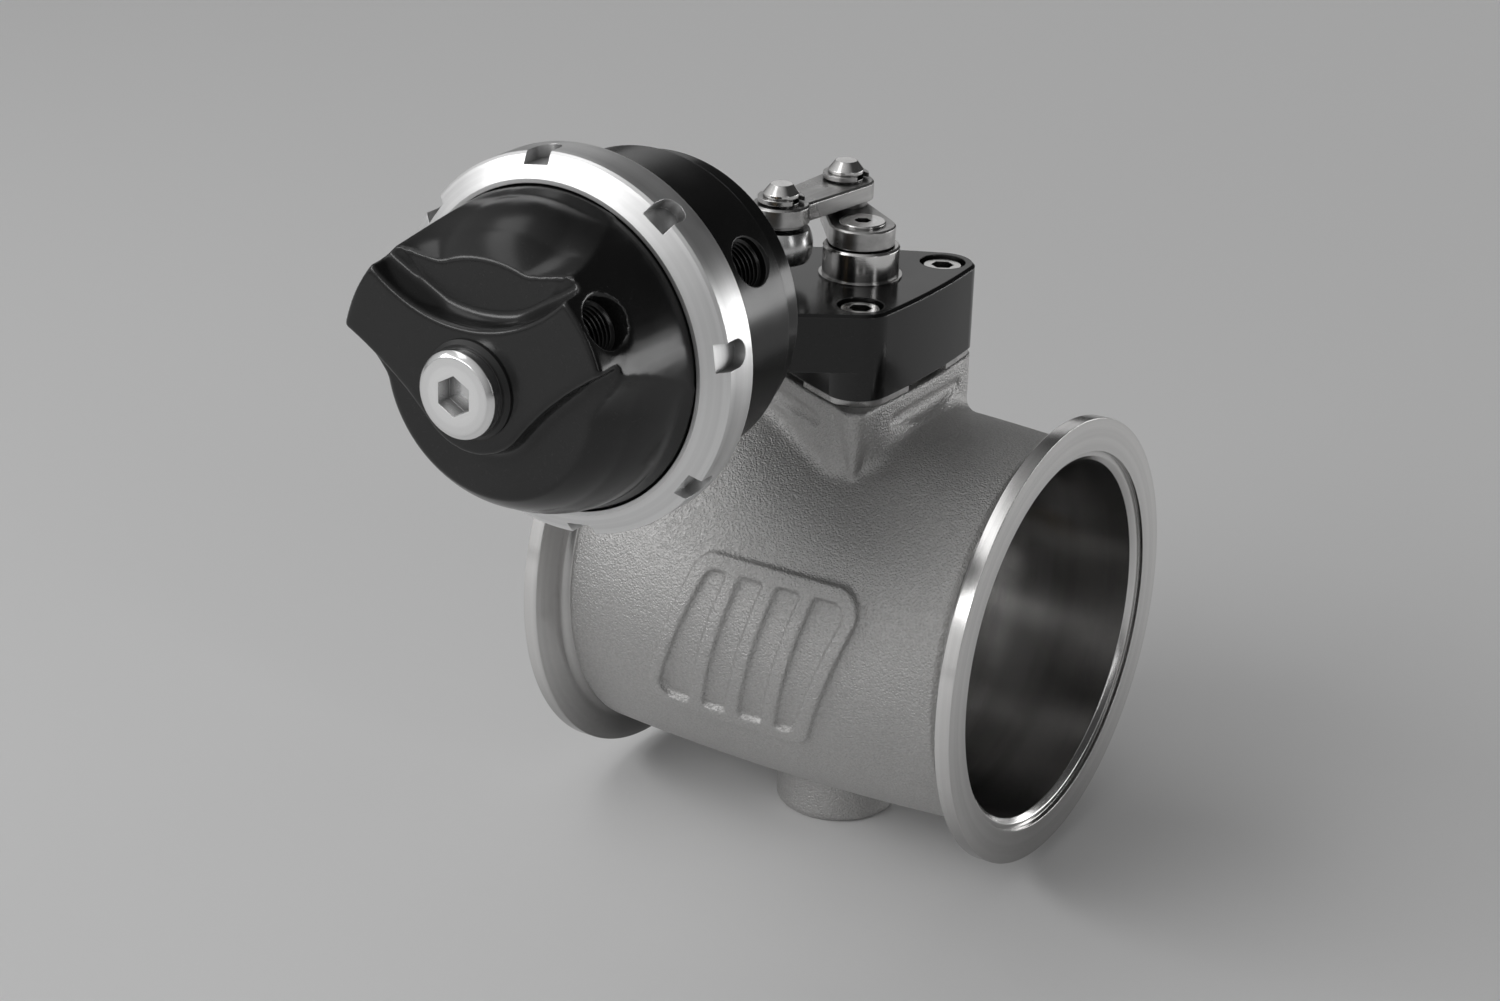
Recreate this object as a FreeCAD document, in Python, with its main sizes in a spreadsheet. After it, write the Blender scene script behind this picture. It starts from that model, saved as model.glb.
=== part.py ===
# Butterfly wastegate with a V-band flange at each end and a piston actuator.
# Millimetres, +Z up. The origin is the centre of the right-hand flange's face,
# the pipe runs along X, the butterfly shaft stands along Z at the middle of the
# pipe, and the actuator's axis runs along Y beside the top of the shaft.
import FreeCAD
import Part
import Sketcher
import math
import os
import re

os.makedirs("parts", exist_ok=True)

V = FreeCAD.Vector
UP = V(0, 0, 1)

# Driving dimensions, one value each
SIZES = {
    # pipe and flanges
    "body_length": 97.5,
    "rim_radius": 45.5,
    "rim_width": 3.0,
    "taper_width": 1.75,
    "taper_root_radius": "=relief_radius + taper_rise",
    "relief_radius": "=shoulder_radius - relief_depth",
    "relief_width": 0.8,
    "relief_corner": 2.4,
    "relief_run": 1.6,
    "taper_rise": 2.95,
    "relief_depth": 0.9,
    "shoulder_radius": "=barrel_radius - barrel_swell",
    "barrel_swell": 1.6,
    "barrel_radius": 40.8,
    "barrel_wall": 4.2,
    "bore_radius": "=barrel_radius - barrel_wall",
    "register_radius": "=bore_radius + register_step",
    "register_step": 2.14,
    "register_depth": 1.0,
    "lead_radius": "=bore_radius + lead_step",
    "lead_step": 1.1,
    "lead_depth": 1.0,
    # raised pad on the side of the barrel
    "pad_height": 1.1,
    "pad_low_left": 22.5,
    "pad_low_right": 15.0,
    "pad_lean": 9.5,
    "pad_half_height": 18.0,
    "pad_corner": 5.0,
    "pad_border": 3.0,
    "pad_rib_width": 3.0,
    "pad_rib_step": 8.4,
    # neck and lower boss
    "neck_top": 48.2,
    "bolt_circle": 19.1,
    "corner_radius": 6.5,
    "side_radius": 187.0,
    "neck_groove_radius": 2.1,
    "neck_groove_half": 13.0,
    "neck_groove_depth": 1.2,
    "neck_groove_drop": 4.8,
    "boss_radius": 12.6,
    "boss_bottom": 49.0,
    "boss_round": 1.4,
    "neck_foot_round": 3.0,
    "neck_corner": 2.9,
    "neck_corner_run": 8.0,
    "neck_corner_drop": 17.0,
    "neck_corner_draft": 9.4,
    # butterfly
    "shaft_radius": 5.0,
    "plate_gap": 0.3,
    "plate_thickness": 3.0,
    "plate_bevel": 0.8,
    "plate_screw_height": 18.0,
    "plate_screw_radius": 2.0,
    "plate_screw_head": 3.6,
    "bush_wall": 2.95,
    "boss_floor": 3.5,
    "bush_length": 7.4,
    "seal_height": 4.4,
    # bonnet
    "spacer_thickness": 1.4,
    "bonnet_thickness": 17.4,
    "bonnet_edge": 0.6,
    "arm_depth": 11.7,
    "arm_half_width": 13.0,
    "arm_slope": 32.8,
    "arm_fillet": 2.0,
    "wall_radius": 27.6,
    "wall_back": 51.4,
    "wall_front": 57.0,
    "bolt_radius": 2.5,
    "bolt_head_radius": 4.1,
    "bolt_head_height": 5.0,
    "bolt_pocket_radius": 4.6,
    "bolt_pocket_depth": 5.6,
    "bolt_bite": 7.8,
    "key_across": 4.0,
    # crank, link and pins
    "bush_top": 6.3,
    "bush_seat_radius": 8.3,
    "bush_seat_height": 0.35,
    "crank_gap": 0.3,
    "crank_thickness": 3.8,
    "crank_boss_radius": 6.6,
    "crank_end_radius": 4.7,
    "crank_radius": 13.45,
    "crank_angle": 135.3,
    "drive_square": 5.6,
    "crank_screw_radius": 4.6,
    "crank_screw_height": 0.6,
    "crank_screw_shank": 2.0,
    "crank_screw_length": 12.0,
    "link_gap": 1.5,
    "link_thickness": 3.6,
    "link_length": 21.8,
    "link_angle": 265.0,
    "link_end_radius": 5.7,
    "link_waist": 4.3,
    "link_edge": 0.4,
    "pin_radius": 3.55,
    "pin_groove_radius": 2.6,
    "pin_top_radius": 2.2,
    "pin_cone_height": 1.75,
    "pin_rim_height": 0.7,
    "clip_thickness": 0.9,
    "clip_radius": 4.6,
    "clip_gap": 0.4,
    "washer_radius": 5.2,
    # rod
    "rod_offset": 11.5,
    "actuator_height": 7.3,
    "eye_radius": 6.6,
    "eye_half_height": 3.2,
    "eye_bore": 3.75,
    "eye_stub_radius": 1.5,
    "eye_shank_radius": 3.5,
    "eye_gap": 0.6,
    "eye_shank_end": 9.6,
    "rod_radius": 3.0,
    "nut_across": 10.0,
    "nut_length": 4.0,
    "guide_radius": 6.0,
    "guide_flange_radius": 6.8,
    "guide_flange": 2.4,
    # actuator
    "housing_radius": 29.6,
    "housing_chamfer": 0.7,
    "housing_bore": 22.0,
    "housing_floor": 6.0,
    "housing_front": 82.0,
    "housing_lip_radius": 32.0,
    "housing_lip": 3.2,
    "collar_radius": 35.1,
    "collar_rear": 78.5,
    "collar_front": 86.5,
    "collar_nose": 89.0,
    "collar_opening": 29.95,
    "collar_turn": 8.5,
    "notch_width": 5.1,
    "notch_reach": 5.6,
    "notch_depth": 2.2,
    "cap_radius": 29.7,
    "cap_flange": 3.0,
    "cap_flange_radius": 31.8,
    "cap_straight": 91.5,
    "dome_radius": 21.0,
    "dome_edge": 21.5,
    "dome_front": 108.3,
    "cap_front": 113.5,
    "cap_end_radius": 27.6,
    "cap_cavity_radius": 22.0,
    "cap_cavity_end": 103.5,
    "cap_turn": 2.5,
    "band_waist": 10.85,
    "band_hollow": 28.6,
    "band_hub": 12.0,
    "band_flank": 68.0,
    "band_root": 2.2,
    "band_edge": 0.9,
    "band_reach": 24.5,
    "band_end_x": 33.0,
    "band_end_z": 10.0,
    "cap_end_angle": 29.5,
    "cap_end_half": 5.4,
    "cap_end_root": 12.0,
    "cap_end_flare": 25.0,
    "port_radius": 4.6,
    "port_chamfer": 0.5,
    "port_depth": 8.0,
    "port_drill_radius": 3.0,
    "housing_port_back": 64.8,
    "housing_port_angle": 30.6,
    "cap_port_back": 107.0,
    "cap_port_angle": 30.5,
    "plug_radius": 5.0,
    "plug_head_radius": 7.6,
    "plug_head_height": 3.4,
    "plug_chamfer": 1.3,
    "plug_key": 8.0,
    "plug_seal_radius": 8.9,
    "plug_seal_height": 1.1,
    "piston_back": 69.8,
    "piston_thickness": 6.0,
    "piston_radius": 21.6,
    "spring_radius": 14.0,
    "spring_wire": 1.2,
    "spring_turns": 3.5,
    "spring_gap": 0.3,
    "actuator_screw_circle": 21.0,
    # clearances
    "running_gap": 0.05,
    "seat_gap": 0.02,
}

doc = FreeCAD.newDocument("wastegate")
sheet = doc.addObject("Spreadsheet::Sheet", "sizes")
for row, (alias, size) in enumerate(SIZES.items(), start=1):
    sheet.set("A%d" % row, alias)
    sheet.setAlias("B%d" % row, alias)
for row, size in enumerate(SIZES.values(), start=1):
    sheet.set("B%d" % row, str(size))
doc.recompute()

probe = doc.addObject("App::FeaturePython", "probe")
probe.addProperty("App::PropertyFloat", "number")
nodes = {}


# Expressions and their values
def linked(text):
    """Writes each size in an expression as a reference to the sheet."""
    def reference(match):
        word = match.group(0)
        return "sizes." + word if word in SIZES else word
    return re.sub(r"[a-z][a-z_]*", reference, str(text))


def number(text):
    """The value of an expression now, for a starting shape."""
    probe.setExpression("number", linked(text))
    probe.recompute()
    return probe.number


# Derived places, each an expression of the sizes above
SHAFT_X = "-body_length / 2"
ROD_X = "-body_length / 2 - rod_offset"
HALF = "body_length / 2"
BONNET_BOTTOM = "(neck_top + spacer_thickness)"
BONNET_TOP = "(neck_top + spacer_thickness + bonnet_thickness)"
ROD_Z = "(%s + actuator_height)" % BONNET_TOP
BUSH_RADIUS = "(shaft_radius + bush_wall)"
BUSH_TOP = "(%s + bush_top)" % BONNET_TOP
CRANK_BOTTOM = "(%s + crank_gap)" % BUSH_TOP
CRANK_TOP = "(%s + crank_thickness)" % CRANK_BOTTOM
LINK_BOTTOM = "(%s + link_gap)" % CRANK_TOP
LINK_TOP = "(%s + link_thickness)" % LINK_BOTTOM
CLIP_BOTTOM = "(%s + clip_gap)" % LINK_TOP
CRANK_PIN_X = "(crank_radius * cos(crank_angle))"
CRANK_PIN_Y = "(crank_radius * sin(crank_angle))"
ROD_PIN_X = "(crank_radius * cos(crank_angle) + link_length * cos(link_angle))"
ROD_PIN_Y = "(crank_radius * sin(crank_angle) + link_length * sin(link_angle))"
CAVITY_BACK = "(wall_front + housing_floor)"


# Bodies, sketches and features
def new_body(label, at=("0", "0", "0")):
    body = doc.addObject("PartDesign::Body", label)
    body.Label = label
    place(body, at)
    nodes[label] = body
    return body


def place(item, at):
    for axis, text in zip("xyz", at):
        if text != "0":
            item.setExpression("Placement.Base." + axis, linked(text))


def new_sketch(body, label, role, offset="0"):
    sketch = body.newObject("Sketcher::SketchObject", label)
    plane = [item for item in body.Origin.OriginFeatures if item.Role == role][0]
    sketch.AttachmentSupport = [(plane, "")]
    sketch.MapMode = "FlatFace"
    if offset != "0":
        sketch.setExpression("AttachmentOffset.Base.z", linked(offset))
    return sketch


def pin_point(sketch, geometry, end, x_text, y_text):
    """Fixes a point of a sketch by its two coordinates."""
    for kind, text, axis in (("DistanceX", x_text, -2), ("DistanceY", y_text, -1)):
        if number(text) == 0:
            sketch.addConstraint(Sketcher.Constraint("PointOnObject", geometry, end, axis))
        else:
            at = sketch.addConstraint(Sketcher.Constraint(kind, -1, 1, geometry, end, number(text)))
            sketch.setExpression("Constraints[%d]" % at, linked(text))


def set_radius(sketch, geometry, text):
    at = sketch.addConstraint(Sketcher.Constraint("Radius", geometry, number(text)))
    sketch.setExpression("Constraints[%d]" % at, linked(text))


def arc_between(start, end, radius, turn):
    """The arc under half a turn from start to end; turn is left or right."""
    chord = end - start
    left = V(-chord.y, chord.x, 0).normalize()
    side = 1 if turn == "left" else -1
    rise = math.sqrt(max(radius ** 2 - (chord.Length / 2) ** 2, 0))
    centre = (start + end) * 0.5 + left * side * rise
    first, last = (start, end) if turn == "left" else (end, start)
    begin = math.atan2(first.y - centre.y, first.x - centre.x)
    finish = math.atan2(last.y - centre.y, last.x - centre.x)
    return Part.ArcOfCircle(Part.Circle(centre, UP, radius), begin, finish)


def add_loop(sketch, corners):
    """Draws a closed outline. Each corner is x, y, and for an arc to the next one
    also its radius and which way it turns."""
    points = [V(number(corner[0]), number(corner[1]), 0) for corner in corners]
    pieces = []
    for index, corner in enumerate(corners):
        start = points[index]
        end = points[(index + 1) % len(points)]
        if len(corner) == 2:
            geometry = sketch.addGeometry(Part.LineSegment(start, end))
            pieces.append((geometry, 1, 2))
        else:
            geometry = sketch.addGeometry(arc_between(start, end, number(corner[2]), corner[3]))
            pieces.append((geometry, 1, 2) if corner[3] == "left" else (geometry, 2, 1))
    for index, piece in enumerate(pieces):
        after = pieces[(index + 1) % len(pieces)]
        sketch.addConstraint(Sketcher.Constraint("Coincident", piece[0], piece[2], after[0], after[1]))
        pin_point(sketch, piece[0], piece[1], corners[index][0], corners[index][1])
        if len(corners[index]) > 2:
            set_radius(sketch, piece[0], corners[index][2])


def add_circle(sketch, x_text, y_text, radius):
    centre = V(number(x_text), number(y_text), 0)
    geometry = sketch.addGeometry(Part.Circle(centre, UP, number(radius)))
    pin_point(sketch, geometry, 3, x_text, y_text)
    set_radius(sketch, geometry, radius)


def add_belt(sketch, discs, side_radius=None):
    """Draws the outline round discs, given anticlockwise as x, y and radius, with
    straight or gently bowed sides that are tangent to them."""
    centres = [V(number(disc[0]), number(disc[1]), 0) for disc in discs]
    radii = [number(disc[2]) for disc in discs]
    count = len(discs)
    sides = []
    for index in range(count):
        one, two = centres[index], centres[(index + 1) % count]
        small, large = radii[index], radii[(index + 1) % count]
        along = two - one
        gap = along.Length
        along.normalize()
        out = V(along.y, -along.x, 0)
        if side_radius is None:
            lean = (small - large) / gap
            normal = along * lean + out * math.sqrt(1 - lean ** 2)
            sides.append((one + normal * small, two + normal * large, None))
        else:
            bow = number(side_radius)
            run = ((bow - small) ** 2 - (bow - large) ** 2 + gap ** 2) / (2 * gap)
            centre = one + along * run - out * math.sqrt((bow - small) ** 2 - run ** 2)
            first = one + (one - centre).normalize() * small
            last = two + (two - centre).normalize() * large
            sides.append((first, last, bow))
    ends = []
    links = []
    for index in range(count):
        start = sides[index - 1][1] - centres[index]
        finish = sides[index][0] - centres[index]
        circle = Part.Circle(centres[index], UP, radii[index])
        arc = Part.ArcOfCircle(circle, math.atan2(start.y, start.x), math.atan2(finish.y, finish.x))
        ends.append(sketch.addGeometry(arc))
        first, last, bow = sides[index]
        if bow is None:
            links.append(sketch.addGeometry(Part.LineSegment(first, last)))
        else:
            links.append(sketch.addGeometry(arc_between(first, last, bow, "left")))
    for index in range(count):
        after = ends[(index + 1) % count]
        sketch.addConstraint(Sketcher.Constraint("Tangent", ends[index], 2, links[index], 1))
        sketch.addConstraint(Sketcher.Constraint("Tangent", links[index], 2, after, 1))
        pin_point(sketch, ends[index], 3, discs[index][0], discs[index][1])
        set_radius(sketch, ends[index], discs[index][2])
        if side_radius is not None:
            set_radius(sketch, links[index], side_radius)


def pad(body, sketch, length, reverse=False, kind="PartDesign::Pad"):
    feature = body.newObject(kind, sketch.Name + "_" + kind.split("::")[1].lower())
    feature.Profile = sketch
    feature.setExpression("Length", linked(length))
    feature.Reversed = reverse
    return feature


def pocket(body, sketch, length, reverse=False):
    """Cuts a sketch into the body and makes sure that it removed something."""
    doc.recompute()
    before = body.Shape.Volume
    feature = pad(body, sketch, length, reverse, "PartDesign::Pocket")
    doc.recompute()
    check_removed(feature, before)
    return feature


def check_removed(feature, before):
    if feature.Shape.Volume > before - 0.01:
        raise RuntimeError(feature.Label + " removed nothing")


def revolve(body, sketch, axis, kind="PartDesign::Revolution"):
    feature = body.newObject(kind, sketch.Name + "_turn")
    feature.Profile = sketch
    feature.ReferenceAxis = (sketch, [axis])
    feature.Angle = 360
    return feature


def turned(label, corners, axis="Z", at=("0", "0", "0")):
    """A turned piece. The corners are radius and place along its axis."""
    body = new_body(label, at)
    role = {"Z": "XZ_Plane", "Y": "XY_Plane"}[axis]
    sketch = new_sketch(body, label + "_profile", role)
    add_loop(sketch, corners)
    revolve(body, sketch, "V_Axis")
    return body


def ring(label, inner, outer, low, high, axis="Z", at=("0", "0", "0")):
    return turned(label, [(inner, low), (outer, low), (outer, high), (inner, high)], axis, at)


def solid_primitive(body, kind, label, at, direction, **sizes):
    feature = body.newObject("PartDesign::" + kind, label)
    feature.Placement = FreeCAD.Placement(V(0, 0, 0), FreeCAD.Rotation(UP, direction))
    place(feature, at)
    for name, text in sizes.items():
        feature.setExpression(name, linked(text))
    return feature


def drill(body, label, at, direction, radius, length):
    """Drills a round hole from a point along a direction."""
    doc.recompute()
    before = body.Shape.Volume
    feature = solid_primitive(body, "SubtractiveCylinder", label, at, direction, Radius=radius, Height=length)
    doc.recompute()
    check_removed(feature, before)
    return feature


def countersink(body, label, at, direction, wide, narrow, depth):
    return solid_primitive(
        body, "SubtractiveCone", label, at, direction, Radius1=wide, Radius2=narrow, Height=depth)


def polar(body, feature, role, count):
    pattern = body.newObject("PartDesign::PolarPattern", feature.Name + "_ring")
    pattern.Originals = [feature]
    axis = [item for item in body.Origin.OriginFeatures if item.Role == role][0]
    pattern.Axis = (axis, [""])
    pattern.Angle = 360
    pattern.Occurrences = count
    body.Tip = pattern
    doc.recompute()
    return pattern


def soften(body, kind, edges, size):
    """Rounds or chamfers the edges of the body's present shape that pass the test."""
    doc.recompute()
    base = body.Tip
    names = ["Edge%d" % (at + 1) for at, edge in enumerate(base.Shape.Edges) if edges(edge)]
    if not names:
        raise RuntimeError("no edge to soften on " + body.Label)
    feature = body.newObject("PartDesign::" + kind, body.Name + "_" + kind.lower())
    feature.Base = (base, names)
    feature.setExpression("Radius" if kind == "Fillet" else "Size", linked(size))
    doc.recompute()
    return feature


def hexagon(sketch, across):
    """A hexagon about the sketch's origin, across its flats."""
    corner = "(%s / sqrt(3))" % across
    add_loop(sketch, [("%s * cos(%d)" % (corner, turn), "%s * sin(%d)" % (corner, turn))
                      for turn in (30, 90, 150, 210, 270, 330)])


def gather(label, copies):
    """Several equal solids as one node."""
    group = doc.addObject("Part::Compound", label)
    group.Label = label
    group.Links = copies
    nodes[label] = group
    return group


def cap_screw(label, radius, head_radius, head_height, length, across):
    """A socket cap screw, its head's underside at the origin and its shank down."""
    body = doc.addObject("PartDesign::Body", label)
    profile = new_sketch(body, label + "_profile", "XZ_Plane")
    add_loop(profile, [
        ("0", "-(%s)" % length), (radius, "-(%s)" % length), (radius, "0"), (head_radius, "0"),
        (head_radius, "%s - 0.4" % head_height), ("%s - 0.4" % head_radius, head_height), ("0", head_height)])
    revolve(body, profile, "V_Axis")
    socket = new_sketch(body, label + "_socket", "XY_Plane", head_height)
    hexagon(socket, across)
    pocket(body, socket, "%s * 0.55" % head_height)
    return body


def copies_at(source, label, places, direction=UP):
    items = []
    for index, at in enumerate(places):
        copy = doc.addObject("App::Link", "%s_%d" % (label, index + 1))
        copy.LinkedObject = source
        copy.LinkTransform = False
        copy.Placement = FreeCAD.Placement(V(0, 0, 0), FreeCAD.Rotation(UP, direction))
        place(copy, at)
        items.append(copy)
    return items


def triangle_discs(radius):
    """The three corner discs that the bonnet's outline runs round."""
    return [("bolt_circle * cos(%d)" % turn, "bolt_circle * sin(%d)" % turn, radius) for turn in (-60, 60, 180)]


def bolt_places(z_text, x_text="0"):
    return [("%s + bolt_circle * cos(%d)" % (x_text, turn), "bolt_circle * sin(%d)" % turn, z_text)
            for turn in (-60, 60, 180)]


# Valve body: barrel, flanges, neck, lower boss and side pad, then the bores
def valve_body():
    body = new_body("valve_body", (SHAFT_X, "0", "0"))
    rim = "(%s - rim_width)" % HALF
    root = "(%s - rim_width - taper_width)" % HALF
    floor = "(%s - rim_width - taper_width - relief_run)" % HALF
    step = "(%s - rim_width - taper_width - relief_run - relief_width)" % HALF
    swell = "(barrel_radius - shoulder_radius)"
    barrel_bow = "(%s ^ 2 + %s ^ 2) / (2 * %s)" % (step, swell, swell)
    profile = new_sketch(body, "barrel_profile", "XY_Plane")
    add_loop(profile, [
        ("-" + HALF, "0"),
        ("-" + HALF, "rim_radius"),
        ("-" + rim, "rim_radius"),
        ("-" + root, "taper_root_radius", "relief_corner", "left"),
        ("-" + floor, "relief_radius"),
        ("-" + step, "relief_radius"),
        ("-" + step, "shoulder_radius", barrel_bow, "right"),
        (step, "shoulder_radius"),
        (step, "relief_radius"),
        (floor, "relief_radius", "relief_corner", "left"),
        (root, "taper_root_radius"),
        (rim, "rim_radius"),
        (HALF, "rim_radius"),
        (HALF, "0")])
    revolve(body, profile, "H_Axis")
    neck = new_sketch(body, "neck_outline", "XY_Plane", "bore_radius * 0.66")
    add_belt(neck, triangle_discs("corner_radius"), "side_radius")
    pad(body, neck, "neck_top - bore_radius * 0.66")
    solid_primitive(
        body, "AdditiveCylinder", "boss", ("0", "0", "-boss_bottom"), UP,
        Radius="boss_radius", Height="boss_bottom - bore_radius + 2")
    soften(body, "Fillet", is_neck_foot, "neck_foot_round")
    soften(body, "Fillet", is_boss_end, "boss_round")
    neck_ridge(body)
    neck_grooves(body)
    side_pad(body)
    pipe_bores(body)
    return body


def is_neck_foot(edge):
    """Edges where the neck's upright sides or the boss meet the barrel."""
    box = edge.BoundBox
    on_neck = box.ZMin > 20 and box.ZMax < number("barrel_radius") + 0.5 and box.XLength + box.YLength > 1
    inside = abs(box.Center.x) < 24 and abs(box.Center.y) < 30
    return on_neck and inside and not is_upright(edge)


def is_upright(edge):
    box = edge.BoundBox
    return box.XLength < 0.01 and box.YLength < 0.01


def is_boss_end(edge):
    return edge.BoundBox.ZMax < 0.1 - number("boss_bottom")


def neck_ridge(body):
    """The neck's front corner, sharper than the bonnet's and drawn in towards its foot."""
    away = "(bolt_circle + 2 * (corner_radius - neck_corner))"
    at_x, at_y = away + " * cos(60)", "-" + away + " * sin(60)"
    ridge = new_sketch(body, "neck_ridge", "XY_Plane", "neck_top")
    add_belt(ridge, [
        (at_x, at_y, "neck_corner"), (at_x, at_y + " + neck_corner_run", "neck_corner"),
        (at_x + " - neck_corner_run * cos(30)", at_y + " + neck_corner_run * sin(30)", "neck_corner")])
    feature = pad(body, ridge, "neck_corner_drop", True)
    feature.setExpression("TaperAngle", linked("-neck_corner_draft"))
    doc.recompute()


def neck_grooves(body):
    """One long finger groove in each side of the neck, below its top face."""
    reach = "(bolt_circle / 2 + corner_radius + 0.8 - neck_groove_depth + neck_groove_radius)"
    groove = new_sketch(body, "neck_groove", "XY_Plane", "neck_top - neck_groove_drop")
    add_loop(groove, [
        (reach, "-neck_groove_half - neck_groove_radius", "neck_groove_radius", "right"),
        ("%s - neck_groove_radius" % reach, "-neck_groove_half"),
        ("%s - neck_groove_radius" % reach, "neck_groove_half", "neck_groove_radius", "right"),
        (reach, "neck_groove_half + neck_groove_radius")])
    centre = V(number(reach), 0, 0)
    line = groove.addGeometry(Part.LineSegment(centre, centre + V(0, 5, 0)), True)
    groove.addConstraint(Sketcher.Constraint("Vertical", line))
    pin_point(groove, line, 1, reach, "0")
    doc.recompute()
    before = body.Shape.Volume
    feature = body.newObject("PartDesign::Groove", "neck_groove_cut")
    feature.Profile = groove
    feature.ReferenceAxis = (groove, ["Axis0"])
    feature.Angle = 360
    doc.recompute()
    check_removed(feature, before)
    polar(body, feature, "Z_Axis", 3)


def side_pad(body):
    """A raised frame with three plain ribs on the front of the barrel."""
    crown = "(barrel_radius + pad_height)"
    frame = new_sketch(body, "side_frame", "XZ_Plane", "barrel_radius * 0.88")
    add_belt(frame, pad_discs("0"))
    add_belt(frame, pad_discs("pad_border"))
    pad(body, frame, "barrel_radius * 0.12 + pad_height + 4")
    ribs = new_sketch(body, "side_ribs", "XZ_Plane", "barrel_radius * 0.88")
    for index in (-1, 0, 1):
        add_belt(ribs, rib_discs(index))
    pad(body, ribs, "barrel_radius * 0.12 + pad_height + 4")
    trim = new_sketch(body, "side_trim", "XY_Plane")
    add_loop(trim, [
        ("-pad_low_left - 6", "-" + crown), ("-pad_low_left - 6", "-%s - 9" % crown),
        ("pad_low_left + 8", "-%s - 9" % crown), ("pad_low_left + 8", "-" + crown)])
    doc.recompute()
    before = body.Shape.Volume
    cut = body.newObject("PartDesign::Groove", "side_trim_cut")
    cut.Profile = trim
    cut.ReferenceAxis = (trim, ["H_Axis"])
    cut.Angle = 70
    cut.Midplane = True
    doc.recompute()
    check_removed(cut, before)


def pad_discs(inset):
    """Corner discs of the leaning side frame, drawn in by an inset."""
    radius = "(pad_corner - %s)" % inset if inset == "0" else "(pad_corner - pad_border * 0.8)"
    edge = "(pad_corner)" if inset == "0" else "(pad_border + pad_corner - pad_border * 0.8)"
    low = "-(pad_half_height - %s)" % edge
    high = "(pad_half_height - %s)" % edge
    return [
        ("-(pad_low_left - %s)" % edge, low, radius),
        ("pad_low_right - %s" % edge, low, radius),
        ("pad_low_right + pad_lean - %s" % edge, high, radius),
        ("-(pad_low_left - pad_lean - %s)" % edge, high, radius)]


def rib_discs(index):
    middle = "((pad_low_right - pad_low_left + pad_lean) / 2 + pad_rib_step * %d)" % index
    reach = "(pad_half_height - pad_border)"
    lean = "pad_lean * %s / (2 * pad_half_height)" % reach
    return [
        ("%s - %s" % (middle, lean), "-" + reach, "pad_rib_width / 2"),
        ("%s + %s" % (middle, lean), reach, "pad_rib_width / 2")]


def pipe_bores(body):
    along = V(1, 0, 0)
    drill(body, "pipe_bore", ("-" + HALF, "0", "0"), along, "bore_radius", "body_length")
    for side, direction in (("right", V(-1, 0, 0)), ("left", V(1, 0, 0))):
        sign = "" if side == "right" else "-"
        drill(body, side + "_register", ("%s(%s)" % (sign, HALF), "0", "0"), direction,
              "register_radius", "register_depth")
        countersink(body, side + "_lead", ("%s(%s - register_depth)" % (sign, HALF), "0", "0"), direction,
                    "lead_radius", "bore_radius", "lead_depth")
    drill(body, "neck_shaft_hole", ("0", "0", "bore_radius - 3"), UP, "shaft_radius + 0.5",
          "neck_top - bore_radius + 3")
    drill(body, "neck_seal_seat", ("0", "0", "neck_top - seal_height - 1.5"), UP,
          BUSH_RADIUS, "seal_height + 1.5")
    drill(body, "boss_hole", ("0", "0", "boss_floor - boss_bottom"), UP, BUSH_RADIUS,
          "boss_bottom - boss_floor - bore_radius + 3")
    for index, at in enumerate(bolt_places("neck_top - bolt_bite - 1")):
        drill(body, "neck_bolt_hole_%d" % (index + 1), at, UP, "bolt_radius + seat_gap", "bolt_bite + 1")


# Bonnet: rounded triangle, arm and the wall that carries the actuator
def bonnet():
    body = new_body("bonnet", (SHAFT_X, "0", "0"))
    plan = new_sketch(body, "bonnet_outline", "XY_Plane", BONNET_BOTTOM)
    add_belt(plan, triangle_discs("corner_radius"), "side_radius")
    pad(body, plan, "bonnet_thickness")
    arm = new_sketch(body, "bonnet_arm", "XY_Plane", BONNET_TOP + " - arm_depth")
    right = "(arm_half_width - rod_offset)"
    left = "-(arm_half_width + rod_offset)"
    touch_x = "(bolt_circle * cos(60) + corner_radius * sin(arm_slope))"
    touch_y = "-(bolt_circle * sin(60) + corner_radius * cos(arm_slope))"
    add_loop(arm, [
        (touch_x, touch_y),
        ("bolt_circle * cos(60)", "-bolt_circle * sin(60)"),
        ("-bolt_circle", "0"),
        ("-bolt_circle - corner_radius + 0.6", "-2.8"),
        (left, "-corner_radius - 6"),
        (left, "-wall_back - 1"),
        (right, "-wall_back - 1"),
        (right, "%s - (%s - %s) * tan(arm_slope)" % (touch_y, touch_x, right))])
    pad(body, arm, "arm_depth")
    solid_primitive(
        body, "AdditiveCylinder", "actuator_wall", ("-rod_offset", "-wall_back", ROD_Z), V(0, -1, 0),
        Radius="wall_radius", Height="wall_front - wall_back")
    soften(body, "Fillet", is_arm_corner, "arm_fillet")
    soften(body, "Chamfer", is_bonnet_rim, "bonnet_edge")
    drill(body, "bonnet_shaft_hole", ("0", "0", BONNET_BOTTOM), UP, BUSH_RADIUS + " + seat_gap", "bonnet_thickness")
    for index, at in enumerate(bolt_places(BONNET_BOTTOM)):
        drill(body, "bonnet_bolt_hole_%d" % (index + 1), at, UP, "bolt_radius + 0.25", "bonnet_thickness")
    for index, at in enumerate(bolt_places(BONNET_TOP + " - bolt_pocket_depth")):
        drill(body, "bonnet_pocket_%d" % (index + 1), at, UP, "bolt_pocket_radius", "bolt_pocket_depth")
    drill(body, "guide_hole", ("-rod_offset", "-wall_back", ROD_Z), V(0, -1, 0),
          "guide_radius + seat_gap", "wall_front - wall_back")
    for index, at in enumerate(wall_screw_places("-wall_back", "-rod_offset")):
        drill(body, "wall_screw_hole_%d" % (index + 1), at, V(0, -1, 0), "bolt_radius + 0.25",
              "wall_front - wall_back")
    return body


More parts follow.
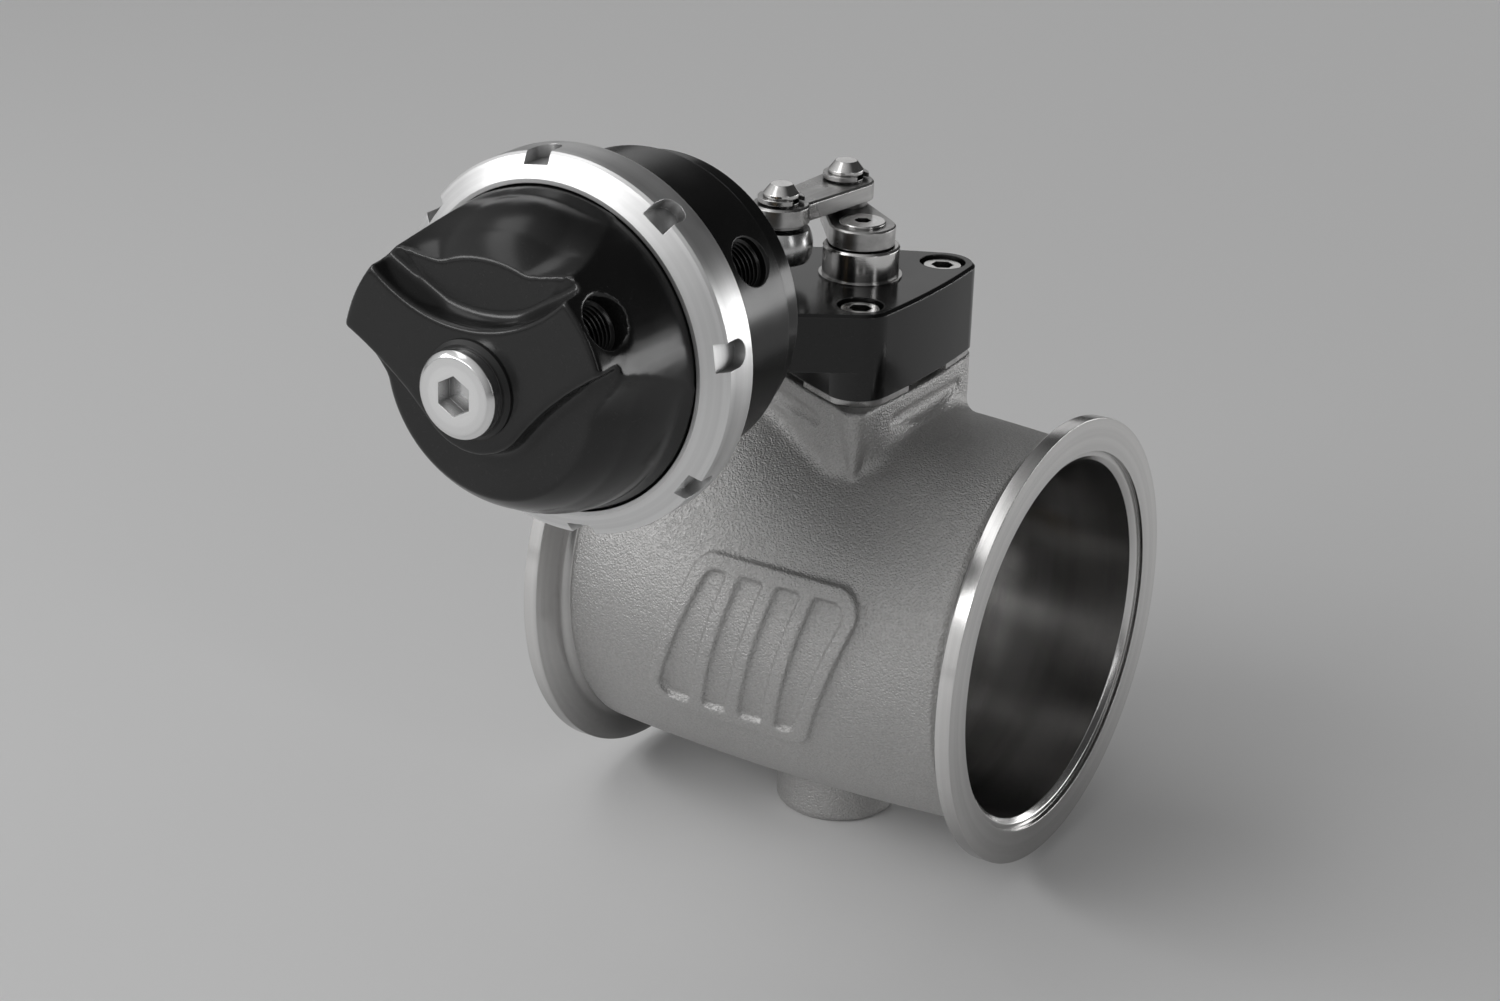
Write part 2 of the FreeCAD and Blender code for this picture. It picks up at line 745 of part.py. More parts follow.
def wall_screw_places(y_text, x_text):
    return [("%s + actuator_screw_circle * cos(%d)" % (x_text, turn), y_text,
             "%s + actuator_screw_circle * sin(%d)" % (ROD_Z, turn)) for turn in (90, 210, 330)]


def is_arm_corner(edge):
    """The upright inner corner between the arm's slope and its straight side."""
    box = edge.BoundBox
    right = number("arm_half_width - rod_offset")
    return is_upright(edge) and abs(box.Center.x - right) < 0.01 and box.Center.y > 2 - number("wall_back")


def is_bonnet_rim(edge):
    box = edge.BoundBox
    at_top = abs(box.ZMin - number(BONNET_TOP)) < 0.01 and abs(box.ZMax - number(BONNET_TOP)) < 0.01
    return at_top and box.Center.y > 2 - number("wall_back")


# Small pieces on the neck and the bonnet
def neck_pieces():
    spacer = new_body("bonnet_spacer", (SHAFT_X, "0", "0"))
    plan = new_sketch(spacer, "spacer_outline", "XY_Plane", "neck_top")
    add_belt(plan, triangle_discs("corner_radius - 0.4"), "side_radius")
    pad(spacer, plan, "spacer_thickness")
    drill(spacer, "spacer_shaft_hole", ("0", "0", "neck_top"), UP, BUSH_RADIUS + " + 0.5", "spacer_thickness")
    scallop = new_sketch(spacer, "spacer_scallop", "XY_Plane", "neck_top")
    add_circle(scallop, "bolt_circle + 5", "0", "bolt_circle / 2 + 1.4")
    cut = pocket(spacer, scallop, "spacer_thickness", True)
    polar(spacer, cut, "Z_Axis", 3)
    for index, at in enumerate(bolt_places("neck_top")):
        drill(spacer, "spacer_bolt_hole_%d" % (index + 1), at, UP, "bolt_radius + 0.25", "spacer_thickness")
    bolt = cap_screw("bonnet_bolt", "bolt_radius", "bolt_head_radius", "bolt_head_height",
                     "bonnet_thickness - bolt_pocket_depth + spacer_thickness + bolt_bite", "key_across")
    heads = bolt_places(BONNET_TOP + " - bolt_pocket_depth", SHAFT_X)
    gather("bonnet_bolts", copies_at(bolt, "bonnet_bolt_copy", heads))
    ring("shaft_seal", "shaft_radius + running_gap", BUSH_RADIUS + " - seat_gap", "neck_top - seal_height",
         "neck_top - 0.2", at=(SHAFT_X, "0", "0"))
    turned("upper_bush", [
        ("shaft_radius + running_gap", BONNET_BOTTOM), (BUSH_RADIUS, BONNET_BOTTOM), (BUSH_RADIUS, BONNET_TOP),
        ("bush_seat_radius", BONNET_TOP), ("bush_seat_radius", BONNET_TOP + " + bush_seat_height"),
        (BUSH_RADIUS + " - 0.3", BONNET_TOP + " + bush_seat_height"), (BUSH_RADIUS + " - 0.3", BUSH_TOP + " - 0.4"),
        (BUSH_RADIUS + " - 0.7", BUSH_TOP), ("shaft_radius + running_gap", BUSH_TOP)],
        at=(SHAFT_X, "0", "0"))
    ring("lower_bush", "shaft_radius + running_gap", BUSH_RADIUS + " - seat_gap", "boss_floor - boss_bottom",
         "boss_floor - boss_bottom + bush_length", at=(SHAFT_X, "0", "0"))


# Butterfly: slotted shaft, plate and the two screws that clamp it
def butterfly():
    shaft = new_body("butterfly_shaft", (SHAFT_X, "0", "0"))
    profile = new_sketch(shaft, "shaft_profile", "XZ_Plane")
    add_loop(profile, [
        ("0", "boss_floor - boss_bottom + 0.5"), ("shaft_radius - 0.5", "boss_floor - boss_bottom + 0.5"),
        ("shaft_radius", "boss_floor - boss_bottom + 1"), ("shaft_radius", CRANK_BOTTOM), ("0", CRANK_BOTTOM)])
    revolve(shaft, profile, "V_Axis")
    square = new_sketch(shaft, "drive_end", "XY_Plane", CRANK_BOTTOM)
    add_square(square, "drive_square / 2")
    pad(shaft, square, "crank_thickness - 0.2")
    slot = new_sketch(shaft, "plate_slot", "XZ_Plane", "-shaft_radius - 1")
    half = "(plate_thickness / 2 + seat_gap)"
    tall = "(bore_radius - plate_gap + 0.1)"
    add_loop(slot, [("-" + half, "-" + tall), (half, "-" + tall), (half, tall), ("-" + half, tall)])
    pocket(shaft, slot, "2 * shaft_radius + 2", True)
    drill(shaft, "shaft_screw_hole", ("0", "0", CRANK_TOP + " - crank_screw_length - 1"), UP,
          "crank_screw_shank + seat_gap", "crank_screw_length + 1")
    for name, height in (("upper", "plate_screw_height"), ("lower", "-plate_screw_height")):
        drill(shaft, name + "_plate_screw_hole", ("-shaft_radius - 1", "0", height), V(1, 0, 0),
              "plate_screw_radius + seat_gap", "2 * shaft_radius + 2")
        drill(shaft, name + "_plate_screw_seat", ("shaft_radius + 1", "0", height), V(-1, 0, 0),
              "plate_screw_head + 0.2", "2.2")
    plate = new_body("butterfly_plate", (SHAFT_X, "0", "0"))
    disc = new_sketch(plate, "plate_outline", "XY_Plane")
    edge = "(bore_radius - plate_gap)"
    half = "(plate_thickness / 2)"
    add_loop(disc, [
        ("-" + half, "0"), (half, "0"), (half, edge + " - plate_bevel"), (half + " - plate_bevel / 2", edge),
        ("plate_bevel / 2 - " + half, edge), ("-" + half, edge + " - plate_bevel")])
    revolve(plate, disc, "H_Axis")
    for name, height in (("upper", "plate_screw_height"), ("lower", "-plate_screw_height")):
        drill(plate, name + "_plate_hole", ("-plate_thickness", "0", height), V(1, 0, 0),
              "plate_screw_radius + seat_gap", "2 * plate_thickness")
    screw = cap_screw("plate_screw", "plate_screw_radius", "plate_screw_head", "1.6",
                      "2 * shaft_radius - 1.5", "2.5")
    gather("butterfly_screws", copies_at(screw, "plate_screw_copy", [
        (SHAFT_X + " + shaft_radius - 1.2", "0", "plate_screw_height"),
        (SHAFT_X + " + shaft_radius - 1.2", "0", "-plate_screw_height")], V(1, 0, 0)))


def add_square(sketch, half):
    add_loop(sketch, [("-" + half, "-" + half), (half, "-" + half), (half, half), ("-" + half, half)])


# Crank, link, pins, clips and washers
def linkage():
    crank = new_body("crank_arm", (SHAFT_X, "0", "0"))
    plan = new_sketch(crank, "crank_outline", "XY_Plane", CRANK_BOTTOM)
    add_belt(plan, [("0", "0", "crank_boss_radius"), (CRANK_PIN_X, CRANK_PIN_Y, "crank_end_radius")])
    pad(crank, plan, "crank_thickness")
    square = new_sketch(crank, "crank_square", "XY_Plane", CRANK_BOTTOM)
    add_square(square, "(drive_square / 2 + seat_gap)")
    pocket(crank, square, "crank_thickness", True)
    drill(crank, "crank_pin_hole", (CRANK_PIN_X, CRANK_PIN_Y, CRANK_BOTTOM), UP, "pin_radius + seat_gap",
          "crank_thickness")
    soften(crank, "Chamfer", is_crank_rim, "0.3")
    screw = new_body("crank_screw", (SHAFT_X, "0", CRANK_TOP))
    profile = new_sketch(screw, "crank_screw_profile", "XZ_Plane")
    add_loop(profile, [
        ("0", "-crank_screw_length"), ("crank_screw_shank", "-crank_screw_length"), ("crank_screw_shank", "0"),
        ("crank_screw_radius", "0"), ("crank_screw_radius", "crank_screw_height - 0.2"),
        ("crank_screw_radius - 0.2", "crank_screw_height"), ("0", "crank_screw_height")])
    revolve(screw, profile, "V_Axis")
    socket = new_sketch(screw, "crank_screw_socket", "XY_Plane", "crank_screw_height")
    hexagon(socket, "3")
    pocket(screw, socket, "1.6")
    link_plate()
    pin("crank_pin", CRANK_PIN_X, CRANK_PIN_Y, CRANK_BOTTOM + " + 0.2", None)
    pin("rod_pin", ROD_PIN_X, ROD_PIN_Y, LINK_BOTTOM, "eye_stub_radius")
    clip("crank_clip", CRANK_PIN_X, CRANK_PIN_Y)
    clip("rod_clip", ROD_PIN_X, ROD_PIN_Y)
    ring("crank_washer", "pin_radius + running_gap", "washer_radius - 0.6", CRANK_TOP,
         LINK_BOTTOM + " - running_gap", at=(SHAFT_X + " + " + CRANK_PIN_X, CRANK_PIN_Y, "0"))
    ring("rod_washer", "eye_stub_radius + running_gap", "washer_radius - 0.5",
         ROD_Z + " + eye_half_height + eye_gap", LINK_BOTTOM,
         at=(SHAFT_X + " + " + ROD_PIN_X, ROD_PIN_Y, "0"))


def is_crank_rim(edge):
    box = edge.BoundBox
    level = abs(box.ZMin - number(CRANK_TOP)) < 0.01 and abs(box.ZMax - number(CRANK_TOP)) < 0.01
    return level and box.XLength + box.YLength > number("2.2 * pin_radius + 2.2 * pin_radius")


def link_plate():
    body = new_body("link", (SHAFT_X, "0", "0"))
    plan = new_sketch(body, "link_outline", "XY_Plane", LINK_BOTTOM)
    add_belt(plan, [(ROD_PIN_X, ROD_PIN_Y, "link_waist"), (CRANK_PIN_X, CRANK_PIN_Y, "link_end_radius")])
    pad(body, plan, "link_thickness")
    solid_primitive(body, "AdditiveCylinder", "rod_end", (ROD_PIN_X, ROD_PIN_Y, LINK_BOTTOM), UP,
                    Radius="link_end_radius", Height="link_thickness")
    soften(body, "Chamfer", is_link_rim, "link_edge")
    drill(body, "link_rod_hole", (ROD_PIN_X, ROD_PIN_Y, LINK_BOTTOM), UP, "pin_radius + seat_gap", "link_thickness")
    drill(body, "link_crank_hole", (CRANK_PIN_X, CRANK_PIN_Y, LINK_BOTTOM), UP, "pin_radius + running_gap",
          "link_thickness")


def is_link_rim(edge):
    box = edge.BoundBox
    return box.ZLength < 0.01 and abs(box.ZMin - number(LINK_TOP)) < 0.01


def pin(label, x_text, y_text, low, stub):
    """A pin with a clip groove and a coned head; stub is the thin end below."""
    groove_low = CLIP_BOTTOM
    groove_high = CLIP_BOTTOM + " + clip_thickness + 0.1"
    rim = groove_high + " + pin_rim_height"
    corners = [("0", low), ("pin_radius", low)]
    if stub:
        end = ROD_Z + " - eye_half_height + 0.4"
        corners = [("0", end), (stub, end), (stub, low), ("pin_radius", low)]
    corners += [
        ("pin_radius", groove_low), ("pin_groove_radius", groove_low), ("pin_groove_radius", groove_high),
        ("pin_radius", groove_high), ("pin_radius", rim), ("pin_top_radius", rim + " + pin_cone_height"),
        ("0", rim + " + pin_cone_height")]
    return turned(label, corners, at=(SHAFT_X + " + " + x_text, y_text, "0"))


def clip(label, x_text, y_text):
    """An open retaining clip that sits in a pin's groove."""
    body = new_body(label, (SHAFT_X + " + " + x_text, y_text, CLIP_BOTTOM + " + 0.05"))
    plan = new_sketch(body, label + "_plan", "XY_Plane")
    add_circle(plan, "0", "0", "clip_radius")
    add_circle(plan, "0", "0", "pin_groove_radius + seat_gap")
    pad(body, plan, "clip_thickness")
    mouth = new_sketch(body, label + "_mouth", "XY_Plane")
    add_loop(mouth, [("0.3", "-pin_groove_radius * 0.9"), ("clip_radius + 1", "-pin_groove_radius * 0.9"),
                     ("clip_radius + 1", "pin_groove_radius * 0.9"), ("0.3", "pin_groove_radius * 0.9")])
    pocket(body, mouth, "clip_thickness", True)


# Rod, its eye, nut, guide, seal and piston
def rod_group():
    eye_at = (ROD_X, ROD_PIN_Y, ROD_Z)
    eye = new_body("rod_eye", eye_at)
    profile = new_sketch(eye, "eye_profile", "XZ_Plane")
    flat = "sqrt(eye_radius ^ 2 - eye_half_height ^ 2)"
    add_loop(profile, [
        ("0", "-eye_half_height"), (flat, "-eye_half_height", "eye_radius", "left"), (flat, "eye_half_height"),
        ("0", "eye_half_height")])
    revolve(eye, profile, "V_Axis")
    solid_primitive(eye, "AdditiveCylinder", "eye_shank", ("0", "-eye_bore - 0.8", "0"), V(0, -1, 0),
                    Radius="eye_shank_radius", Height="eye_shank_end - eye_bore - 0.8")
    drill(eye, "eye_hole", ("0", "0", "-eye_half_height"), UP, "eye_bore", "2 * eye_half_height")
    drill(eye, "eye_rod_hole", ("0", "-eye_shank_end", "0"), V(0, 1, 0), "rod_radius + seat_gap", "4")
    nut = new_body("jam_nut", (ROD_X, ROD_PIN_Y + " - eye_shank_end", ROD_Z))
    plan = new_sketch(nut, "nut_plan", "XZ_Plane")
    hexagon(plan, "nut_across")
    pad(nut, plan, "nut_length")
    drill(nut, "nut_hole", ("0", "0", "0"), V(0, -1, 0), "rod_radius + seat_gap", "nut_length")
    at = (ROD_X, "0", ROD_Z)
    turned("actuator_rod", [
        ("0", ROD_PIN_Y + " - eye_shank_end + 3.8"), ("rod_radius", ROD_PIN_Y + " - eye_shank_end + 3.8"),
        ("rod_radius", "-piston_back - piston_thickness + 0.5"), ("0", "-piston_back - piston_thickness + 0.5")],
        "Y", at)
    turned("rod_guide", [
        ("rod_radius + running_gap", "-wall_back + guide_flange"), ("guide_flange_radius", "-wall_back + guide_flange"),
        ("guide_flange_radius", "-wall_back"), ("guide_radius", "-wall_back"),
        ("guide_radius", "-wall_front - housing_floor / 2"),
        ("rod_radius + running_gap", "-wall_front - housing_floor / 2")], "Y", at)
    ring("rod_seal", "rod_radius + running_gap", "guide_radius", "-wall_front - housing_floor",
         "-wall_front - housing_floor / 2 - 0.05", "Y", at)
    turned("piston", [
        ("rod_radius + seat_gap", "-piston_back"), ("piston_radius", "-piston_back"),
        ("piston_radius", "-piston_back - 1.7"), ("piston_radius - 2", "-piston_back - 1.7"),
        ("piston_radius - 2", "-piston_back - 4.3"), ("piston_radius", "-piston_back - 4.3"),
        ("piston_radius", "-piston_back - piston_thickness"),
        ("rod_radius + seat_gap", "-piston_back - piston_thickness")], "Y", at)
    ring("piston_seal", "piston_radius - 1.95", "housing_bore - running_gap", "-piston_back - 4.25",
         "-piston_back - 1.75", "Y", at)


# Actuator housing, collar, cap, plug and seals
def actuator():
    at = (ROD_X, "0", ROD_Z)
    housing = turned("actuator_housing", [
        ("0", "-wall_front"), ("housing_radius - housing_chamfer", "-wall_front"),
        ("housing_radius", "-wall_front - housing_chamfer"), ("housing_radius", "-housing_front + housing_lip"),
        ("housing_lip_radius", "-housing_front + housing_lip"), ("housing_lip_radius", "-housing_front"),
        ("housing_bore", "-housing_front"), ("housing_bore", "-" + CAVITY_BACK), ("0", "-" + CAVITY_BACK)],
        "Y", at)
    drill(housing, "housing_guide_hole", ("0", "-wall_front", "0"), V(0, -1, 0), "guide_radius + seat_gap",
          "housing_floor")
    for index, turn in enumerate((90, 210, 330)):
        drill(housing, "housing_screw_hole_%d" % (index + 1),
              ("actuator_screw_circle * cos(%d)" % turn, "-wall_front", "actuator_screw_circle * sin(%d)" % turn),
              V(0, -1, 0), "bolt_radius + seat_gap", "housing_floor - 1")
    port(housing, "housing_port", "housing_radius", "housing_port_back", "housing_port_angle",
         "(housing_radius - housing_bore) + 0.6")
    groove = new_sketch(housing, "seal_groove", "XY_Plane")
    add_loop(groove, [("housing_bore + 2", "-housing_front"), ("housing_bore + 2", "-housing_front + 1.4"),
                      ("housing_bore + 4", "-housing_front + 1.4"), ("housing_bore + 4", "-housing_front")])
    revolve(housing, groove, "V_Axis", "PartDesign::Groove")
    ring("cap_seal", "housing_bore + 2.05", "housing_bore + 3.95", "-housing_front",
         "-housing_front + 1.35", "Y", at)
    locking_collar(at)
    cap(at)
    screw = cap_screw("actuator_screw", "bolt_radius", "bolt_head_radius", "bolt_head_height",
                      "wall_front - wall_back + housing_floor - 1.5", "key_across")
    gather("actuator_screws", copies_at(screw, "actuator_screw_copy", wall_screw_places("-wall_back", ROD_X),
                                        V(0, 1, 0)))
    spring(at)


def port(body, label, radius, back, angle, depth, way=None):
    """A threaded pressure port, square to the wall. A blind one has a way on inwards."""
    turn = number(angle)
    inward = V(-math.cos(math.radians(turn)), 0, -math.sin(math.radians(turn)))

    def at(distance):
        return ("(%s) * cos(%s)" % (distance, angle), "-" + back, "(%s) * sin(%s)" % (distance, angle))
    drill(body, label + "_hole", at(radius + " + 3"), inward, "port_radius", depth + " + 3")
    countersink(body, label + "_mouth", at(radius + " + 0.6"), inward, "port_radius + port_chamfer + 0.6",
                "port_radius", "port_chamfer + 0.6")
    if way:
        drill(body, label + "_way", at(radius), inward, "port_drill_radius", way)


def locking_collar(at):
    body = turned("locking_collar", [
        ("collar_opening", "-collar_nose"), ("collar_opening + 0.8", "-collar_nose"),
        ("collar_radius - 0.5", "-collar_front"), ("collar_radius", "-collar_front + 0.5"),
        ("collar_radius", "-collar_rear - 0.4"), ("collar_radius - 0.4", "-collar_rear"),
        ("housing_lip_radius + 0.1", "-collar_rear"),
        ("housing_lip_radius + 0.1", "-housing_front - cap_flange - running_gap"),
        ("collar_opening", "-housing_front - cap_flange - running_gap")], "Y", at)
    notch = new_sketch(body, "notch_plan", "XY_Plane", "collar_radius - notch_depth")
    half = "(notch_width / 2)"
    end = "(-collar_front + notch_reach - notch_width / 2)"
    add_loop(notch, [
        ("-" + half, "-collar_nose - 1"), (half, "-collar_nose - 1"), (half, end, half + " + 0.001", "left"),
        ("-" + half, end)])
    cut = pocket(body, notch, "notch_depth + 2", True)
    polar(body, cut, "Y_Axis", 8)
    turn_about_rod(body, "collar_turn")


def turn_about_rod(body, angle):
    """Turns an actuator piece from +X towards +Z about the rod."""
    body.Placement = FreeCAD.Placement(body.Placement.Base, FreeCAD.Rotation(V(0, -1, 0), number(angle)))
    body.setExpression("Placement.Rotation.Angle", linked(angle))


def cap(at):
    body = turned("actuator_cap", [
        ("0", "-housing_front"), ("cap_flange_radius", "-housing_front"),
        ("cap_flange_radius", "-housing_front - cap_flange"), ("cap_radius", "-housing_front - cap_flange"),
        ("cap_radius", "-cap_straight", "dome_radius", "right"), ("dome_edge", "-dome_front"),
        ("0", "-dome_front")], "Y", at)
    band = new_sketch(body, "band_plan", "XZ_Plane", "cap_straight + 3")
    top = "(band_waist + band_hollow - sqrt(band_hollow ^ 2 - band_reach ^ 2))"
    hub = "(band_hub * sin(45))"
    add_loop(band, [
        ("band_reach", top, "band_hollow", "right"), ("-band_reach", top),
        ("-band_end_x", "band_end_z", "band_flank", "right"),
        ("-" + hub, "-" + hub, "band_hub", "left"), (hub, "-" + hub, "band_flank", "right"),
        ("band_end_x", "band_end_z")])
    pad(body, band, "cap_front - cap_straight - 3")
    trim_cap(body)
    soften(body, "Fillet", is_band_root, "band_root")
    soften(body, "Fillet", is_band_edge, "band_edge")
    for side in ("", "-"):
        cap_end(body, side)
    trim_cap(body)
    cavity = new_sketch(body, "cap_cavity", "XY_Plane")
    add_loop(cavity, [
        ("0", "-housing_front"), ("cap_cavity_radius", "-housing_front"),
        ("cap_cavity_radius", "-cap_cavity_end + cap_cavity_radius * 0.34"),
        ("cap_cavity_radius * 0.66", "-cap_cavity_end"), ("0", "-cap_cavity_end")])
    revolve(body, cavity, "V_Axis", "PartDesign::Groove")
    drill(body, "plug_hole", ("0", "-cap_cavity_end + 1", "0"), V(0, -1, 0), "plug_radius + seat_gap",
          "cap_front - cap_cavity_end + 2")
    port(body, "cap_port", "cap_end_radius", "cap_port_back", "cap_port_angle", "port_depth",
         "cap_end_radius - plug_radius + 2")
    turn_about_rod(body, "cap_turn")
    plug = turned("cap_plug", [
        ("0", "-cap_front - plug_seal_height - plug_head_height"),
        ("plug_head_radius - plug_chamfer", "-cap_front - plug_seal_height - plug_head_height"),
        ("plug_head_radius", "-cap_front - plug_seal_height - plug_head_height + plug_chamfer"),
        ("plug_head_radius", "-cap_front - plug_seal_height"), ("plug_radius", "-cap_front - plug_seal_height"),
        ("plug_radius", "-dome_front + 0.3"), ("0", "-dome_front + 0.3")], "Y", at)
    socket = new_sketch(plug, "plug_socket", "XZ_Plane", "cap_front + plug_seal_height + plug_head_height")
    hexagon(socket, "plug_key")
    pocket(plug, socket, "plug_head_height + 1")
    turned("plug_seal", [
        ("plug_radius + seat_gap", "-cap_front"), ("plug_seal_radius", "-cap_front"),
        ("plug_seal_radius", "-cap_front - plug_seal_height * 0.4"),
        ("plug_seal_radius - 0.7", "-cap_front - plug_seal_height"),
        ("plug_radius + seat_gap", "-cap_front - plug_seal_height")], "Y", at)


def trim_cap(body):
    """Turns the cap's outside down to its slight cone."""
    trim = new_sketch(body, "cap_trim", "XY_Plane")
    add_loop(trim, [
        ("cap_radius", "-cap_straight + 0.5"), ("cap_end_radius", "-cap_front"),
        ("cap_end_radius", "-cap_front - 2"), ("cap_radius + 22", "-cap_front - 2"),
        ("cap_radius + 22", "-cap_straight + 0.5")])
    revolve(body, trim, "V_Axis", "PartDesign::Groove")


def cap_end(body, side):
    """One end of the band: it widens from the front back to the collar."""
    plan = new_sketch(body, "cap_end_plan", "XZ_Plane", "cap_front - band_edge")

    def corner(along, across):
        return ("%s(%s * cos(cap_end_angle) - %s * sin(cap_end_angle))" % (side, along, across),
                "%s * sin(cap_end_angle) + %s * cos(cap_end_angle)" % (along, across))
    far = "(cap_radius + 4)"
    corners = [corner("cap_end_root", "-cap_end_half"), corner(far, "-cap_end_half"),
               corner(far, "cap_end_half"), corner("cap_end_root", "cap_end_half")]
    add_loop(plan, corners)
    feature = pad(body, plan, "cap_front - band_edge - cap_straight", True)
    feature.setExpression("TaperAngle", linked("cap_end_flare"))
    doc.recompute()


def is_band_root(edge):
    """Edges where the band's walls stand on the flat crescents and on the dome."""
    box = edge.BoundBox
    front = -number("dome_front")
    on_flat = abs(box.YMin - front) < 0.01 and abs(box.YMax - front) < 0.01 and not is_dome_edge(edge)
    down_dome = abs(box.YMin - front) < 0.02 and box.YLength > 5 and box.ZLength > 0.5
    return on_flat or down_dome


def is_dome_edge(edge):
    middle = edge.valueAt((edge.FirstParameter + edge.LastParameter) / 2)
    return abs(math.hypot(middle.x, middle.z) - number("dome_edge")) < 0.05


def is_band_edge(edge):
    box = edge.BoundBox
    front = -number("cap_front")
    return abs(box.YMin - front) < 0.01 and abs(box.YMax - front) < 0.01


def spring(at):
    """A spring with its axis along the rod, between piston and cap. Its coil is half
    circles, each tilted by half a turn's rise, so that they meet with one tangent."""
    radius = number("spring_radius")
    wire = number("spring_wire")
    start = number("-piston_back - piston_thickness - spring_gap") - wire
    end = -number("cap_cavity_end - running_gap") + wire
    count = round(2 * number("spring_turns"))
    rise = (end - start) / count
    bends = []
    for index in range(count):
        side = 1 if index % 2 == 0 else -1
        first = V(side * radius, start + rise * index, 0)
        last = V(-side * radius, start + rise * (index + 1), 0)
        crest = (first + last) * 0.5 + V(0, 0, side * (last - first).Length / 2)
        bends.append(Part.Arc(first, crest, last).toShape())
    section = Part.Wire([Part.makeCircle(wire, V(radius, start, 0), V(0, 0, 1))])
    coil = Part.Wire(bends).makePipeShell([section], True, False)
    item = doc.addObject("Part::Feature", "return_spring")
    item.Label = "return_spring"
    item.Shape = coil
    place(item, at)
    nodes["return_spring"] = item


def main():
    valve_body()
    neck_pieces()
    bonnet()
    butterfly()
    linkage()
    rod_group()
    actuator()
    doc.removeObject("probe")
    doc.recompute()
    for item in doc.Objects:
        if "Invalid" in item.State or "Error" in item.State:
            raise RuntimeError(item.Label + " failed: " + str(item.State))
    for label, item in nodes.items():
        shape = item.Shape
        if shape.isNull() or not shape.isValid():
            raise RuntimeError(label + " has a bad shape")
    for label, item in nodes.items():
        item.Shape.exportStep("parts/" + label + ".step")
        print(label, len(item.Shape.Solids), round(item.Shape.Volume, 1))


main()
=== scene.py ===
# %% [markdown]
# # A butterfly wastegate in brushed steel, cast grey and black anodising
# A wastegate lets exhaust gas past a turbocharger. This one is a short pipe with a
# clamp flange at each end, a butterfly on an upright shaft, and a round actuator
# that turns the shaft through a rod, a link and a crank. The solids come from the
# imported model, already in place and in metres. Blender adds the finishes, the
# rounded castings, the threads and the light.

# %% Load the solids
import math
import bpy
from mathutils import Matrix, Vector


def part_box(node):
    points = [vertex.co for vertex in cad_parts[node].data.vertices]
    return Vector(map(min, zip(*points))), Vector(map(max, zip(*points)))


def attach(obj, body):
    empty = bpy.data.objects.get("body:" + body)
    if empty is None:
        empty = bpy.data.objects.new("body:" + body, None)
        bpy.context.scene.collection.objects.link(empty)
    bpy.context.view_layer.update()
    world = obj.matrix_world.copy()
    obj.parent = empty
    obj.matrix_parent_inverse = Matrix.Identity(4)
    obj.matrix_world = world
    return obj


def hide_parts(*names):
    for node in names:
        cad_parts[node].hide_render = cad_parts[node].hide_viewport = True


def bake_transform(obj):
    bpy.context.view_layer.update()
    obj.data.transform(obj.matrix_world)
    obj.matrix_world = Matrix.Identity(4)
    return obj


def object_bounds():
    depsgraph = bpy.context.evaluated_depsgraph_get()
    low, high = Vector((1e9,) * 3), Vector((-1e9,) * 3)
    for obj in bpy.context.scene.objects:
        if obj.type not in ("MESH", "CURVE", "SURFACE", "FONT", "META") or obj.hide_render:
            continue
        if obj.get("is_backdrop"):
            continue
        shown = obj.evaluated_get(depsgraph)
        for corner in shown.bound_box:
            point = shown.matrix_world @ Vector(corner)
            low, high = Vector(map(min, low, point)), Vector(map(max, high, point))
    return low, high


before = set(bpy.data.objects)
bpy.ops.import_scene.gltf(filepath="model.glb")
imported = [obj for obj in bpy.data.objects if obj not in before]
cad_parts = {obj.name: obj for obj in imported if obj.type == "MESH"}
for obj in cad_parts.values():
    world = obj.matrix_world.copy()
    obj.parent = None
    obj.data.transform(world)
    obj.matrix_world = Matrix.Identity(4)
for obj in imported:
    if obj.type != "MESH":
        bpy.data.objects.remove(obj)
cad_box = [list(corner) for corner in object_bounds()]
MM = 0.001
print("solids:", len(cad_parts), "far corner in mm:", [round(side / MM, 1) for side in cad_box[1]])

# %% [markdown]
# ## Where things are
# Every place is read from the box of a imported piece, or repeats a drawing size.
# The pipe's middle lies halfway between its two flange faces, and the actuator's
# axis runs through the middle of its locking collar.

# %% Axes and places
ALONG_PIPE = Vector((1, 0, 0))
ALONG_ROD = Vector((0, 1, 0))
UPRIGHT = Vector((0, 0, 1))
pipe_low, pipe_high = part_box("valve_body")
PIPE_CENTRE = Vector(((pipe_low.x + pipe_high.x) / 2, 0, 0))
HALF_LENGTH = (pipe_high.x - pipe_low.x) / 2
collar_low, collar_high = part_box("locking_collar")
ROD_AXIS = Vector(((collar_low.x + collar_high.x) / 2, 0, (collar_low.z + collar_high.z) / 2))
print("pipe middle", [round(value, 5) for value in PIPE_CENTRE])
print("rod axis", [round(value, 5) for value in ROD_AXIS])

# %% [markdown]
# ## Helpers for finishes
# A finish is a small tree of nodes. These helpers add a node and link it in one
# line, spread a value's range, mix two colours and open an empty group. With them a
# finish can be read from top to bottom like a recipe.

# %% Small node helpers
def set_or_link(tree, socket, value):
    """Links a socket to another one, or sets it to a plain value."""
    if isinstance(value, bpy.types.NodeSocket):
        tree.links.new(value, socket)
    else:
        socket.default_value = value


def put(tree, kind, inputs=None, **settings):
    """Adds a node, sets it, and links or sets its inputs."""
    node = tree.nodes.new(kind)
    for name, value in settings.items():
        setattr(node, name, value)
    for key, value in (inputs or {}).items():
        set_or_link(tree, node.inputs[key], value)
    return node


def ramp(tree, value, low, high, low_to=0.0, high_to=1.0):
    """Spreads a value's range over another range, held at its ends."""
    node = put(tree, "ShaderNodeMapRange", {
        "Value": value, "From Min": low, "From Max": high, "To Min": low_to, "To Max": high_to})
    return node.outputs["Result"]


